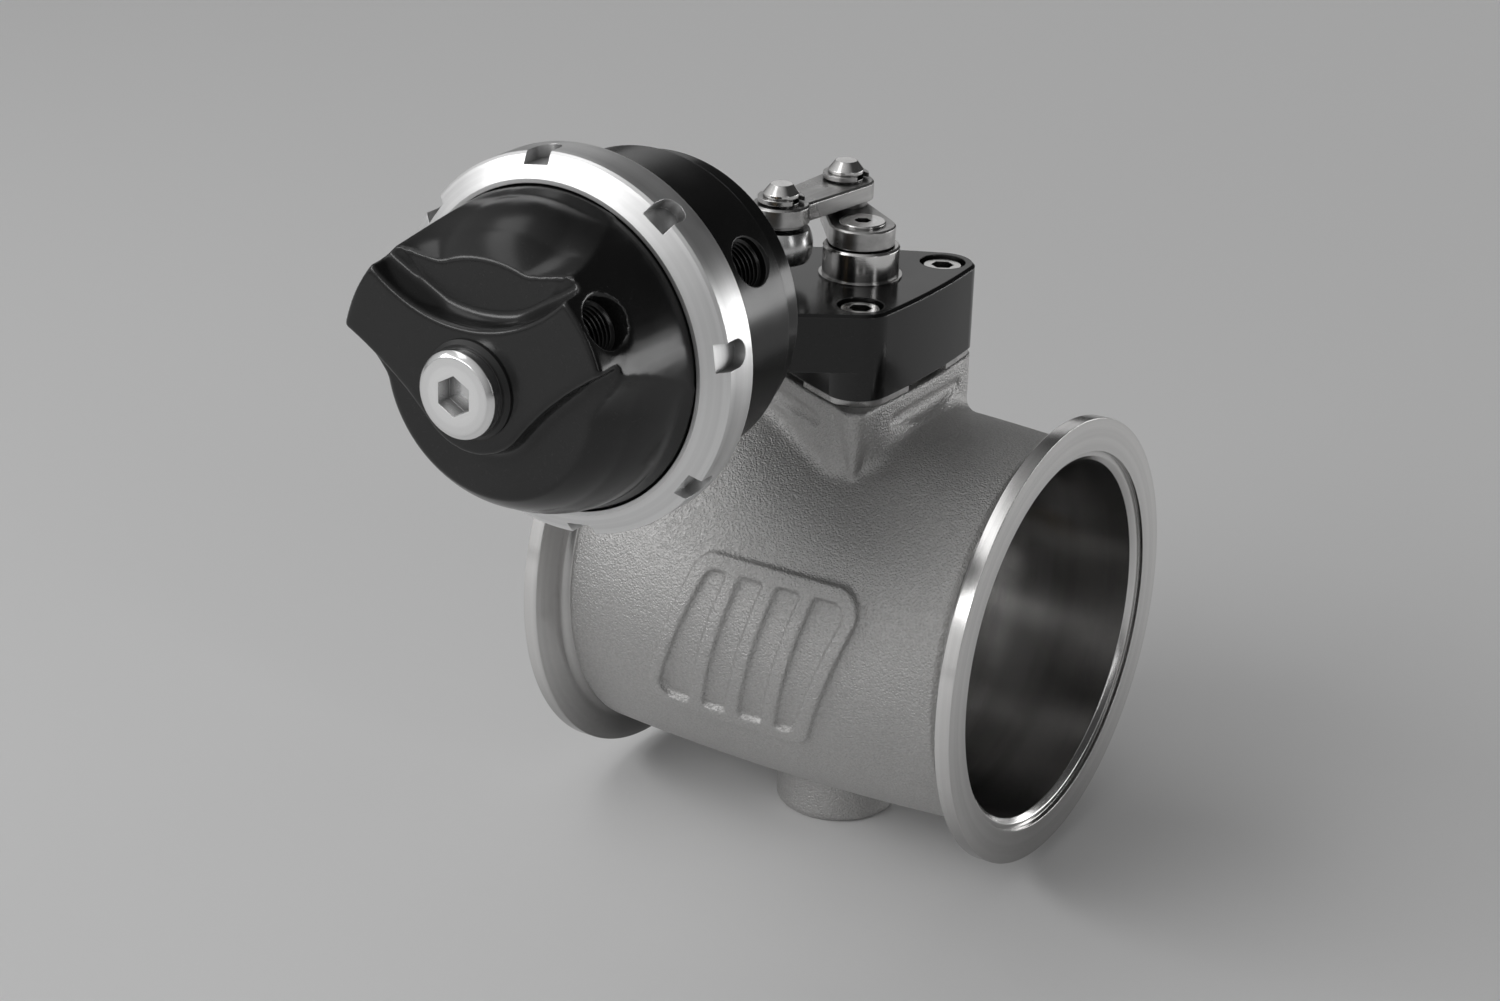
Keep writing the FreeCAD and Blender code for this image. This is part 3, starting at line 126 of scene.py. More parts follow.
COLOUR_MIX = {"factor": 0, "first": 6, "second": 7, "result": 2}


def blend(tree, factor, first, second):
    """Mixes two colours."""
    node = put(tree, "ShaderNodeMix", data_type="RGBA")
    set_or_link(tree, node.inputs[COLOUR_MIX["factor"]], factor)
    set_or_link(tree, node.inputs[COLOUR_MIX["first"]], first)
    set_or_link(tree, node.inputs[COLOUR_MIX["second"]], second)
    return node.outputs[COLOUR_MIX["result"]]


def grey(level, warm=0.0):
    """A grey, a little warm or cool."""
    return (level * (1 + warm), level, level * (1 - warm), 1.0)


print("a middle grey:", grey(0.5))

# %% [markdown]
# ## Effects that several metals share
# Each effect is built once, as a node group with named inputs and outputs, and is
# then placed in every material that needs it, with that material's own values. A
# group gives heights, masks and colours, and the shader stays in the material.

# %% An empty group
def new_group(name, inputs, outputs):
    """An empty shader group with its sockets."""
    group = bpy.data.node_groups.new(name, "ShaderNodeTree")
    for label, kind, value in inputs:
        socket = group.interface.new_socket(name=label, in_out="INPUT", socket_type=kind)
        if value is not None:
            socket.default_value = value
    for label, kind in outputs:
        group.interface.new_socket(name=label, in_out="OUTPUT", socket_type=kind)
    return group, group.nodes.new("NodeGroupInput"), group.nodes.new("NodeGroupOutput")


NUMBER, PLACE = "NodeSocketFloat", "NodeSocketVector"

# %% [markdown]
# A sand or investment casting that was blasted clean has grains about half a
# millimetre across, with small pits between them. Noise alone looks like cloth and
# cells alone look like leather, so the height is one times the other. A third, much
# broader noise gives the faint patches that any casting has.

# %% Grit of a blasted casting
PATCHES_PER_METRE = 45.0


def make_cast_grit():
    group, given, result = new_group(
        "cast_grit", [("Vector", PLACE, None), ("Grain per metre", NUMBER, 2000.0)],
        [("Height", NUMBER), ("Shade", NUMBER), ("Patches", NUMBER)])
    place, fine = given.outputs["Vector"], given.outputs["Grain per metre"]
    grain = put(group, "ShaderNodeTexNoise", {
        "Vector": place, "Scale": fine, "Detail": 3.0, "Roughness": 0.6})
    pits = put(group, "ShaderNodeTexVoronoi", {"Vector": place, "Scale": fine})
    deep = ramp(group, pits.outputs["Distance"], 0.0, 0.55)
    height = put(group, "ShaderNodeMath", {0: grain.outputs["Fac"], 1: deep}, operation="MULTIPLY")
    broad = put(group, "ShaderNodeTexNoise", {"Vector": place, "Scale": PATCHES_PER_METRE, "Detail": 4.0})
    group.links.new(height.outputs[0], result.inputs["Height"])
    group.links.new(ramp(group, grain.outputs["Fac"], 0.3, 0.7), result.inputs["Shade"])
    group.links.new(ramp(group, broad.outputs["Fac"], 0.35, 0.65), result.inputs["Patches"])
    return group


CAST_GRIT = make_cast_grit()
print("group:", CAST_GRIT.name)

# %% [markdown]
# A lathe's tool leaves fine rings round the axis. Noise is read at a point made of
# the distance from the axis and the place along it, so that it is the same all the
# way round. The material turns its coordinates until the lathe's axis is Z.

# %% Fine rings left by a lathe
RING_BANDS_PER_METRE = 420.0


def make_turned_lines():
    group, given, result = new_group(
        "turned_lines", [("Vector", PLACE, None), ("Lines per metre", NUMBER, 5000.0)],
        [("Height", NUMBER), ("Streak", NUMBER)])
    parts = put(group, "ShaderNodeSeparateXYZ", {0: given.outputs["Vector"]})
    flat = put(group, "ShaderNodeCombineXYZ", {"X": parts.outputs["X"], "Y": parts.outputs["Y"]})
    radius = put(group, "ShaderNodeVectorMath", {0: flat.outputs[0]}, operation="LENGTH")
    section = put(group, "ShaderNodeCombineXYZ", {"X": radius.outputs["Value"], "Y": parts.outputs["Z"]})
    lines = put(group, "ShaderNodeTexNoise", {
        "Vector": section.outputs[0], "Scale": given.outputs["Lines per metre"],
        "Detail": 2.0, "Roughness": 0.7})
    bands = put(group, "ShaderNodeTexNoise", {
        "Vector": section.outputs[0], "Scale": RING_BANDS_PER_METRE, "Detail": 3.0})
    group.links.new(lines.outputs["Fac"], result.inputs["Height"])
    group.links.new(ramp(group, bands.outputs["Fac"], 0.3, 0.7), result.inputs["Streak"])
    return group


TURNED_LINES = make_turned_lines()
print("group:", TURNED_LINES.name)

# %% [markdown]
# Flat steel that was brushed has straight hairlines. The same noise does it once
# the coordinates are squeezed along the brushing, which draws every grain out.

# %% Straight brushing
BRUSH_STRETCH = (0.03, 1.0, 1.0)
BRUSH_BANDS_PER_METRE = 500.0


def make_brushed_lines():
    group, given, result = new_group(
        "brushed_lines", [("Vector", PLACE, None), ("Lines per metre", NUMBER, 3500.0)],
        [("Height", NUMBER), ("Streak", NUMBER)])
    drawn = put(group, "ShaderNodeVectorMath", {0: given.outputs["Vector"], 1: BRUSH_STRETCH},
                operation="MULTIPLY")
    lines = put(group, "ShaderNodeTexNoise", {
        "Vector": drawn.outputs[0], "Scale": given.outputs["Lines per metre"],
        "Detail": 2.0, "Roughness": 0.65})
    streak = put(group, "ShaderNodeTexNoise", {
        "Vector": drawn.outputs[0], "Scale": BRUSH_BANDS_PER_METRE, "Detail": 3.0})
    group.links.new(lines.outputs["Fac"], result.inputs["Height"])
    group.links.new(ramp(group, streak.outputs["Fac"], 0.3, 0.7), result.inputs["Streak"])
    return group


BRUSHED_LINES = make_brushed_lines()
print("group:", BRUSHED_LINES.name)

# %% [markdown]
# No machined edge is perfectly sharp. The Bevel node gives the normal that a
# rounded edge would have. Where it differs from the real normal there is an edge,
# and the difference serves as a mask, with which the finishes paint a highlight
# into the colour along each edge.

# %% Rounded edges, and the mask for their painted highlight
def make_edge_normal_and_highlight():
    group, given, result = new_group(
        "edge_normal_and_painted_highlight", [("Radius", NUMBER, 0.3 * MM)], [("Normal", PLACE), ("Mask", NUMBER)])
    rounded = put(group, "ShaderNodeBevel", {"Radius": given.outputs["Radius"]}, samples=6)
    real = group.nodes.new("ShaderNodeNewGeometry")
    along = put(group, "ShaderNodeVectorMath", {0: rounded.outputs["Normal"], 1: real.outputs["Normal"]},
                operation="DOT_PRODUCT")
    group.links.new(rounded.outputs["Normal"], result.inputs["Normal"])
    # The mask marks the edges, along which the finishes paint a highlight into the colour.
    group.links.new(ramp(group, along.outputs["Value"], 0.995, 0.93), result.inputs["Mask"])
    return group


EDGE_NORMAL_AND_HIGHLIGHT = make_edge_normal_and_highlight()
print("group:", EDGE_NORMAL_AND_HIGHLIGHT.name)

# %% [markdown]
# Metal that was handled is never evenly shiny. A soft noise varies how rough it is,
# and a very fine one, cut off near its top, leaves a few specks of dust.

# %% Handling marks
CLOUDS_PER_METRE, DUST_PER_METRE = 60.0, 2600.0


def make_film():
    group, given, result = new_group("film", [("Vector", PLACE, None)], [("Cloud", NUMBER), ("Dust", NUMBER)])
    place = given.outputs["Vector"]
    cloud = put(group, "ShaderNodeTexNoise", {
        "Vector": place, "Scale": CLOUDS_PER_METRE, "Detail": 5.0, "Roughness": 0.55})
    dust = put(group, "ShaderNodeTexNoise", {"Vector": place, "Scale": DUST_PER_METRE, "Detail": 1.0})
    group.links.new(ramp(group, cloud.outputs["Fac"], 0.35, 0.65), result.inputs["Cloud"])
    group.links.new(ramp(group, dust.outputs["Fac"], 0.66, 0.74), result.inputs["Dust"])
    return group


FILM = make_film()
print("group:", FILM.name)

# %% [markdown]
# Bright metal goes dark in a narrow gap, because there it mirrors only itself.
# That shade is painted into the colour. Ambient occlusion measures how closed in a
# point is, over a depth that each material chooses: a few millimetres for small
# gaps, and more for a whole pipe.

# %% Painted shade in the recesses
SMALL_GAP = 4 * MM


def make_painted_recess_shade():
    group, given, result = new_group("painted_recess_shade", [("Depth", NUMBER, SMALL_GAP)], [("Shade", NUMBER)])
    # Ambient occlusion gives the painted shade: the more closed in a point, the darker its colour is painted.
    closed = put(group, "ShaderNodeAmbientOcclusion", {"Distance": given.outputs["Depth"]}, samples=6)
    group.links.new(ramp(group, closed.outputs["AO"], 0.25, 0.9), result.inputs["Shade"])
    return group


PAINTED_RECESS_SHADE = make_painted_recess_shade()
print("node groups:", [group.name for group in bpy.data.node_groups])

# %% [markdown]
# ## Starting a finish
# A finish starts from one shader and the object's own coordinates, so that nothing
# slides when a piece moves. A Mapping node puts the lathe's axis on Z, and so one
# group of rings serves the pipe, which was turned about X, the actuator, turned
# about Y, and the pins, which stand upright.

# %% A finish and its coordinates
def new_finish(name, metallic, roughness, colour):
    """A material with its shader; returns the material, its tree and the shader."""
    finish = bpy.data.materials.new(name)
    finish.use_nodes = True
    shader = finish.node_tree.nodes["Principled BSDF"]
    shader.inputs["Base Color"].default_value = colour
    shader.inputs["Metallic"].default_value = metallic
    shader.inputs["Roughness"].default_value = roughness
    finish.diffuse_color = colour
    return finish, finish.node_tree, shader


def own_place(tree, axis=UPRIGHT, through=Vector((0, 0, 0))):
    """The object's coordinates, turned so that the given axis is Z."""
    coordinates = tree.nodes.new("ShaderNodeTexCoord")
    turn = axis.rotation_difference(UPRIGHT)
    mapping = put(tree, "ShaderNodeMapping", {
        "Vector": coordinates.outputs["Object"], "Location": -(turn @ through), "Rotation": turn.to_euler()})
    return mapping.outputs["Vector"]


def use(tree, group, **inputs):
    """Places a node group in a material."""
    node = tree.nodes.new("ShaderNodeGroup")
    node.node_tree = group
    for name, value in inputs.items():
        set_or_link(tree, node.inputs[name.replace("_", " ")], value)
    return node


def raise_surface(tree, shader, height, strength, depth, normal=None):
    """Feeds a height through a bump into the shader."""
    inputs = {"Height": height, "Strength": strength, "Distance": depth}
    if normal is not None:
        inputs["Normal"] = normal
    bump = put(tree, "ShaderNodeBump", inputs)
    tree.links.new(bump.outputs["Normal"], shader.inputs["Normal"])


# %% [markdown]
# ## Cast steel
# The body's outside is blasted stainless steel: grey, dull and gritty. It is nearly
# a full metal, but its grains scatter the light, so it is rough and its colour is
# taken down. The grains that stand up are a little lighter and smoother.

# %% Cast body
GRIT_DEPTH = 0.26 * MM


def cast_finish():
    finish, tree, shader = new_finish("cast_grey", 0.85, 0.5, grey(0.5, 0.01))
    grit = use(tree, CAST_GRIT, Vector=own_place(tree))
    light = blend(tree, grit.outputs["Shade"], grey(0.46, 0.01), grey(0.58, 0.01))
    tone = blend(tree, ramp(tree, grit.outputs["Patches"], 0, 1, 0, 0.2), light, grey(0.4))
    tree.links.new(tone, shader.inputs["Base Color"])
    tree.links.new(ramp(tree, grit.outputs["Shade"], 0, 1, 0.55, 0.42), shader.inputs["Roughness"])
    raise_surface(tree, shader, grit.outputs["Height"], 0.9, GRIT_DEPTH)
    return finish


cast_grey = cast_finish()
print("finish:", cast_grey.name)

# %% [markdown]
# ## Turned metal
# Flanges, pins, bush, plug and locking collar all came off a lathe. One recipe
# makes them: rings, a film, a painted highlight on the edges and painted shade in
# the recesses. Each piece gives its own brightness, roughness and axis. The pipe
# looks deep into its own bore, so its painted shade reaches 45 mm.

# %% Turned metals
LINE_DEPTH = 0.04 * MM
EDGE = 0.2 * MM
SHAFT_LINE = PIPE_CENTRE


def turned_finish(name, level, roughness, axis, through, bump=0.25, warm=0.0, lines=5000.0, depth=SMALL_GAP):
    """Bare or clear-anodised metal with the rings of the lathe."""
    finish, tree, shader = new_finish(name, 1.0, roughness, grey(level, warm))
    rings = use(tree, TURNED_LINES, Vector=own_place(tree, axis, through), Lines_per_metre=lines)
    film = use(tree, FILM, Vector=own_place(tree))
    edges = use(tree, EDGE_NORMAL_AND_HIGHLIGHT, Radius=EDGE)
    brighter = min(level * 1.06, 0.95)
    tone = blend(tree, rings.outputs["Streak"], grey(level * 0.86, warm), grey(brighter, warm))
    # Painted highlight: the edges are painted towards a near white.
    tone = blend(tree, ramp(tree, edges.outputs["Mask"], 0, 1, 0, 0.5), tone, grey(0.93, warm))
    # Painted shade: closed-in places are painted darker, down to about a fifth of the metal's grey.
    tone = blend(tree, use(tree, PAINTED_RECESS_SHADE, Depth=depth).outputs["Shade"], grey(level * 0.22, warm), tone)
    tree.links.new(tone, shader.inputs["Base Color"])
    tree.links.new(ramp(tree, film.outputs["Cloud"], 0, 1, roughness * 0.85, roughness * 1.2),
                   shader.inputs["Roughness"])
    raise_surface(tree, shader, rings.outputs["Height"], bump, LINE_DEPTH, edges.outputs["Normal"])
    return finish


PIPE_SHADE_DEPTH = 45 * MM
pipe_steel = turned_finish(
    "pipe_steel", 0.82, 0.2, ALONG_PIPE, Vector((0, 0, 0)), bump=0.2, warm=0.01, depth=PIPE_SHADE_DEPTH)
collar_silver = turned_finish("collar_silver", 0.84, 0.44, ALONG_ROD, ROD_AXIS, bump=0.2)
plug_steel = turned_finish("plug_steel", 0.93, 0.16, ALONG_ROD, ROD_AXIS, bump=0.12)
upright_steel = turned_finish("upright_steel", 0.84, 0.18, UPRIGHT, SHAFT_LINE, bump=0.15, warm=0.01)
rod_steel = turned_finish("rod_steel", 0.7, 0.25, ALONG_ROD, ROD_AXIS, bump=0.1)
piston_silver = turned_finish("piston_silver", 0.7, 0.3, ALONG_ROD, ROD_AXIS)
spring_wire = turned_finish("spring_wire", 0.35, 0.35, ALONG_ROD, ROD_AXIS, lines=2500.0)
turned = (pipe_steel, collar_silver, plug_steel, upright_steel, rod_steel, piston_silver, spring_wire)
print("turned finishes:", [finish.name for finish in turned])

# %% [markdown]
# ## Brushed plates
# The link, the crank and the small plates are flat steel with straight hairlines.
# The link lies nearly along the rod, and its hairlines run along it, so it has a
# finish of its own that is turned to its direction.

# %% Brushed plates
ALONG_LINK = Vector((0.087, 0.996, 0))


def brushed_finish(name, level, roughness, axis, bump=0.3, warm=0.01):
    """Flat steel with straight brushing along a direction."""
    finish, tree, shader = new_finish(name, 1.0, roughness, grey(level, warm))
    turn = axis.rotation_difference(ALONG_PIPE)
    coordinates = tree.nodes.new("ShaderNodeTexCoord")
    place = put(tree, "ShaderNodeMapping", {
        "Vector": coordinates.outputs["Object"], "Rotation": turn.to_euler()})
    lines = use(tree, BRUSHED_LINES, Vector=place.outputs["Vector"])
    film = use(tree, FILM, Vector=own_place(tree))
    edges = use(tree, EDGE_NORMAL_AND_HIGHLIGHT, Radius=EDGE)
    brighter = min(level * 1.08, 0.95)
    tone = blend(tree, lines.outputs["Streak"], grey(level * 0.8, warm), grey(brighter, warm))
    # Painted highlight: the edges are painted towards a pale grey.
    tone = blend(tree, ramp(tree, edges.outputs["Mask"], 0, 1, 0, 0.5), tone, grey(0.9, warm))
    # Painted shade: closed-in places are painted darker, down to a quarter of the steel's grey.
    tone = blend(tree, use(tree, PAINTED_RECESS_SHADE).outputs["Shade"], grey(level * 0.25, warm), tone)
    tree.links.new(tone, shader.inputs["Base Color"])
    tree.links.new(ramp(tree, film.outputs["Cloud"], 0, 1, roughness * 0.8, roughness * 1.2),
                   shader.inputs["Roughness"])
    raise_surface(tree, shader, lines.outputs["Height"], bump, LINE_DEPTH, edges.outputs["Normal"])
    return finish


plate_steel = brushed_finish("plate_steel", 0.55, 0.3, ALONG_PIPE)
link_steel = brushed_finish("link_steel", 0.52, 0.3, ALONG_LINK)
print("brushed finishes:", plate_steel.name, link_steel.name)

# %% [markdown]
# ## Black anodising
# Anodising is a clear glassy layer, dyed black, on aluminium. Almost no light comes
# back from below it, so it is made as a very dark plain material with a smooth
# coat's reflection, and not as a metal. Its edges get a painted highlight in dark grey.

# %% Black anodising
DYE_LINE_DEPTH = 0.03 * MM
ANODISED_EDGE_RADIUS = 0.3 * MM


def anodised_finish(name, level, roughness, axis, through, bump=0.06):
    """Black dyed anodising, with a painted highlight of dark grey along its edges."""
    finish, tree, shader = new_finish(name, 0.0, roughness, grey(level))
    shader.inputs["IOR"].default_value = 1.5
    rings = use(tree, TURNED_LINES, Vector=own_place(tree, axis, through))
    film = use(tree, FILM, Vector=own_place(tree))
    edges = use(tree, EDGE_NORMAL_AND_HIGHLIGHT, Radius=ANODISED_EDGE_RADIUS)
    tone = blend(tree, film.outputs["Cloud"], grey(level * 0.85), grey(level * 1.15))
    tone = blend(tree, ramp(tree, film.outputs["Dust"], 0, 1, 0, 0.15), tone, grey(0.08))
    # Painted highlight: the edges are painted a dark grey, lighter than the black.
    tone = blend(tree, ramp(tree, edges.outputs["Mask"], 0, 1, 0, 0.35), tone, grey(0.16))
    tree.links.new(tone, shader.inputs["Base Color"])
    tree.links.new(ramp(tree, film.outputs["Cloud"], 0, 1, roughness * 0.85, roughness * 1.25),
                   shader.inputs["Roughness"])
    raise_surface(tree, shader, rings.outputs["Height"], bump, DYE_LINE_DEPTH, edges.outputs["Normal"])
    return finish


black_actuator = anodised_finish("black_actuator", 0.006, 0.2, ALONG_ROD, ROD_AXIS)
black_cap = anodised_finish("black_cap", 0.008, 0.2, ALONG_ROD, ROD_AXIS)
black_bonnet = anodised_finish("black_bonnet", 0.005, 0.16, UPRIGHT, SHAFT_LINE, bump=0.03)
print("anodised finishes:", black_actuator.name, black_cap.name, black_bonnet.name)

# %% [markdown]
# ## Rubber and bronze
# The seal rings are black rubber, matt with a faint bloom. The hidden bushes are
# sintered bronze, which is pressed from powder, so it borrows the casting's grit at
# a finer scale.

# %% Rubber and bronze
def rubber_finish():
    finish, tree, shader = new_finish("black_rubber", 0.0, 0.42, grey(0.012))
    film = use(tree, FILM, Vector=own_place(tree))
    tree.links.new(blend(tree, film.outputs["Cloud"], grey(0.009), grey(0.018)), shader.inputs["Base Color"])
    tree.links.new(ramp(tree, film.outputs["Cloud"], 0, 1, 0.34, 0.5), shader.inputs["Roughness"])
    raise_surface(tree, shader, film.outputs["Dust"], 0.1, 0.03 * MM)
    return finish


BRONZE = (0.55, 0.4, 0.22, 1.0)
BRONZE_LOW, BRONZE_HIGH = (0.42, 0.3, 0.16, 1.0), (0.62, 0.46, 0.27, 1.0)


def bronze_finish():
    finish, tree, shader = new_finish("sintered_bronze", 1.0, 0.4, BRONZE)
    grit = use(tree, CAST_GRIT, Vector=own_place(tree), Grain_per_metre=5000.0)
    tree.links.new(blend(tree, grit.outputs["Shade"], BRONZE_LOW, BRONZE_HIGH), shader.inputs["Base Color"])
    tree.links.new(ramp(tree, grit.outputs["Patches"], 0, 1, 0.35, 0.5), shader.inputs["Roughness"])
    raise_surface(tree, shader, grit.outputs["Height"], 0.2, 0.05 * MM)
    return finish


black_rubber = rubber_finish()
sintered_bronze = bronze_finish()
print("materials in the file:", len(bpy.data.materials))

# %% [markdown]
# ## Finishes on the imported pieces
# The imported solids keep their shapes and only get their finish. The few that are
# replaced further on get one as well, so that nothing is ever left bare.

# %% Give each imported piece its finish
PIECES_OF = {
    cast_grey: ("valve_body",),
    upright_steel: (
        "bonnet_bolts", "upper_bush", "butterfly_shaft", "crank_screw", "crank_pin", "rod_pin"),
    plate_steel: (
        "bonnet_spacer", "butterfly_plate", "butterfly_screws", "crank_arm", "crank_clip", "rod_clip",
        "crank_washer", "rod_washer", "jam_nut"),
    link_steel: ("link",),
    rod_steel: ("rod_eye", "actuator_rod", "actuator_screws"),
    piston_silver: ("piston",),
    collar_silver: ("locking_collar",),
    plug_steel: ("cap_plug",),
    spring_wire: ("return_spring",),
    black_bonnet: ("bonnet",),
    black_actuator: ("actuator_housing",),
    black_cap: ("actuator_cap",),
    black_rubber: ("shaft_seal", "rod_seal", "piston_seal", "cap_seal", "plug_seal"),
    sintered_bronze: ("lower_bush", "rod_guide"),
}
for finish, nodes in PIECES_OF.items():
    for node in nodes:
        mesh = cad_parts[node].data
        mesh.materials.clear()
        mesh.materials.append(finish)
print("finished nodes:", sum(len(nodes) for nodes in PIECES_OF.values()), "of", len(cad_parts))

# %% [markdown]
# ## Helpers for modelling
# Operators act on everything that is selected, so each helper starts by clearing
# the selection. A piece's place is kept in its mesh, and its object stays at the
# origin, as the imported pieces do.

# %% Selection and modifiers
def select_none():
    """Leaves edit mode and deselects everything."""
    if bpy.context.object and bpy.context.object.mode != "OBJECT":
        bpy.ops.object.mode_set(mode="OBJECT")
    bpy.ops.object.select_all(action="DESELECT")


def select_only(piece):
    """Makes one object the only selected one, and the active one."""
    select_none()
    piece.select_set(True)
    bpy.context.view_layer.objects.active = piece


def settle(piece):
    """Moves the object's place, turn and scale into its mesh."""
    select_only(piece)
    bpy.ops.object.transform_apply(location=True, rotation=True, scale=True)
    return piece


def modify(piece, kind, **settings):
    """Adds a modifier, sets it and applies it."""
    select_only(piece)
    modifier = piece.modifiers.new(kind.lower(), kind)
    for name, value in settings.items():
        setattr(modifier, name, value)
    bpy.ops.object.modifier_apply(modifier=modifier.name)
    return piece


def smooth(piece, angle):
    """Shades a piece smooth, apart from edges sharper than the angle."""
    select_only(piece)
    bpy.ops.object.shade_smooth_by_angle(angle=math.radians(angle))
    return piece


# %% [markdown]
# Holes are drilled as in a workshop: a round bar stands where the drill would go,
# and a Boolean modifier takes it out of the piece. The same bar with six sides
# makes a socket for a key.

# %% Bars that cut
def add_rod(name, centre, direction, radius, length, sides=96):
    """A round bar about a point, along a direction."""
    select_none()
    turn = UPRIGHT.rotation_difference(direction).to_euler()
    bpy.ops.mesh.primitive_cylinder_add(
        vertices=sides, radius=radius, depth=length, location=centre, rotation=turn)
    piece = bpy.context.object
    piece.name = name
    return settle(piece)


def cut_away(piece, cutter):
    """Cuts one shape out of another and deletes the cutter."""
    modify(piece, "BOOLEAN", operation="DIFFERENCE", solver="EXACT", object=cutter)
    bpy.data.objects.remove(cutter)
    return piece


# %% [markdown]
# Most metal pieces here were turned on a lathe, and the quickest way to model such
# a piece is the same: draw half of its section, corner by corner, and spin it round
# its axis. A narrow bevel then breaks the sharp edges, which is what makes machined
# metal catch the light. Weighted normals keep the flat faces flat in the shading,
# so that only the broken edges turn the light.

# %% A lathe
SHADE_ANGLE = 35
SAME_POINT = 0.002 * MM
ON_AXIS = 0.01 * MM


def lathe(name, corners, centre, axis, out, steps, bevel):
    """Spins a closed section. Each corner is its place along the axis and its radius, in mm."""
    places = [centre + axis * (along * MM) + out * (radius * MM) for along, radius in corners]
    select_none()
    bpy.ops.mesh.primitive_plane_add(size=MM, location=places[0])
    piece = bpy.context.object
    piece.name = name
    settle(piece)
    bpy.ops.object.mode_set(mode="EDIT")
    bpy.ops.mesh.select_all(action="SELECT")
    bpy.ops.mesh.merge(type="CENTER")
    for before, after in zip(places, places[1:] + places[:1]):
        bpy.ops.mesh.extrude_region_move(TRANSFORM_OT_translate={"value": after - before})
    bpy.ops.mesh.select_all(action="SELECT")
    bpy.ops.mesh.remove_doubles(threshold=ON_AXIS)
    bpy.ops.mesh.spin(steps=steps, angle=2 * math.pi, center=centre, axis=axis)
    bpy.ops.mesh.select_all(action="SELECT")
    bpy.ops.mesh.remove_doubles(threshold=SAME_POINT)
    bpy.ops.mesh.normals_make_consistent(inside=False)
    bpy.ops.object.mode_set(mode="OBJECT")
    modify(piece, "BEVEL", width=bevel * MM, segments=2, limit_method="ANGLE", angle_limit=math.radians(28))
    smooth(piece, SHADE_ANGLE)
    print(name, "faces:", len(piece.data.polygons))
    return piece


def crisp(piece):
    """Keeps flat faces flat in the shading."""
    smooth(piece, SHADE_ANGLE)
    return modify(piece, "WEIGHTED_NORMAL", keep_sharp=True)


# %% [markdown]
# Three pieces start as a copy of a imported solid. Its mesh comes in loose patches,
# one for each face of the solid, so they are merged before a copy is reshaped.
# Most new pieces are then given their finish and the body they ride on, and the
# imported piece that each stands for is hidden.

# %% Copies, and handing a piece over
PATCH_GAP = 0.005 * MM


def copy_packed(node, name):
    """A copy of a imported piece, settled at the origin."""
    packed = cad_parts[node]
    piece = bpy.data.objects.new(name, packed.data.copy())
    bpy.context.scene.collection.objects.link(piece)
    piece.matrix_world = packed.matrix_world.copy()
    return settle(piece)


def merge_patches(piece):
    """Joins a mesh's loose patches along their borders."""
    select_only(piece)
    bpy.ops.object.mode_set(mode="EDIT")
    bpy.ops.mesh.select_all(action="SELECT")
    bpy.ops.mesh.remove_doubles(threshold=PATCH_GAP)
    bpy.ops.object.mode_set(mode="OBJECT")


def give_finish(piece, finish):
    """Gives a new piece its one finish."""
    piece.data.materials.clear()
    piece.data.materials.append(finish)


def hand_over(piece, finish, body, slot, *nodes):
    """Gives a new piece its finish and its body, and hides the imported nodes that it stands for; the slot is
    not used.
    """
    give_finish(piece, finish)
    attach(piece, body)
    if nodes:
        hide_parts(*nodes)


# %% [markdown]
# ## The pipe's machined metal
# The casting's flanges and bore are cut on a lathe and stay crisp and bright, while
# the outside keeps its blasted skin. So the body is two pieces: this turned tube
# with the flanges, their tapers, the grooves behind them and the register in each
# face, and then the cast skin over the middle. The rings along the bore only make
# its long faces shorter, which shades better round the two shaft holes.

# %% Turn the tube and its flanges
END = HALF_LENGTH / MM
BORE = 36.6
half_section = [
    (END - 2.0, BORE), (END - 1.0, 37.7), (END - 1.0, 38.74), (END, 38.74), (END, 45.5), (END - 3.0, 45.5),
    (END - 4.75, 41.25), (END - 4.95, 40.1), (END - 5.4, 39.1), (END - 6.35, 38.3)]
outside = half_section + [(-along, radius) for along, radius in reversed(half_section)]
bore_rings = [(along, BORE) for along in (-39.0, -20.0, -10.0, -6.5, 6.5, 10.0, 20.0, 39.0)]
tube = lathe("machined_tube", outside + bore_rings, PIPE_CENTRE, ALONG_PIPE, UPRIGHT, steps=224, bevel=0.16)

# %% Drill it for the shaft and for the lower bush
TO_WALL, DRILL_LENGTH = UPRIGHT * (37.0 * MM), 6.0 * MM
SHAFT_HOLE, BUSH_HOLE = 5.5 * MM, 7.95 * MM
cut_away(tube, add_rod("top_hole", PIPE_CENTRE + TO_WALL, UPRIGHT, SHAFT_HOLE, DRILL_LENGTH))
cut_away(tube, add_rod("bottom_hole", PIPE_CENTRE - TO_WALL, UPRIGHT, BUSH_HOLE, DRILL_LENGTH))
crisp(tube)
hand_over(tube, pipe_steel, "valve", "cast_steel", "valve_body")
print("tube faces after drilling:", len(tube.data.polygons))

# %% [markdown]
# ## The cast skin
# A casting has no sharp edge anywhere: corners, pads and the foot of the neck all
# run into each other with a small radius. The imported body's sharp copy is cut back
# to the part between the grooves, bored out past the turned tube, and then melted
# with a voxel remesh and a little smoothing, which rounds every edge as sand does.

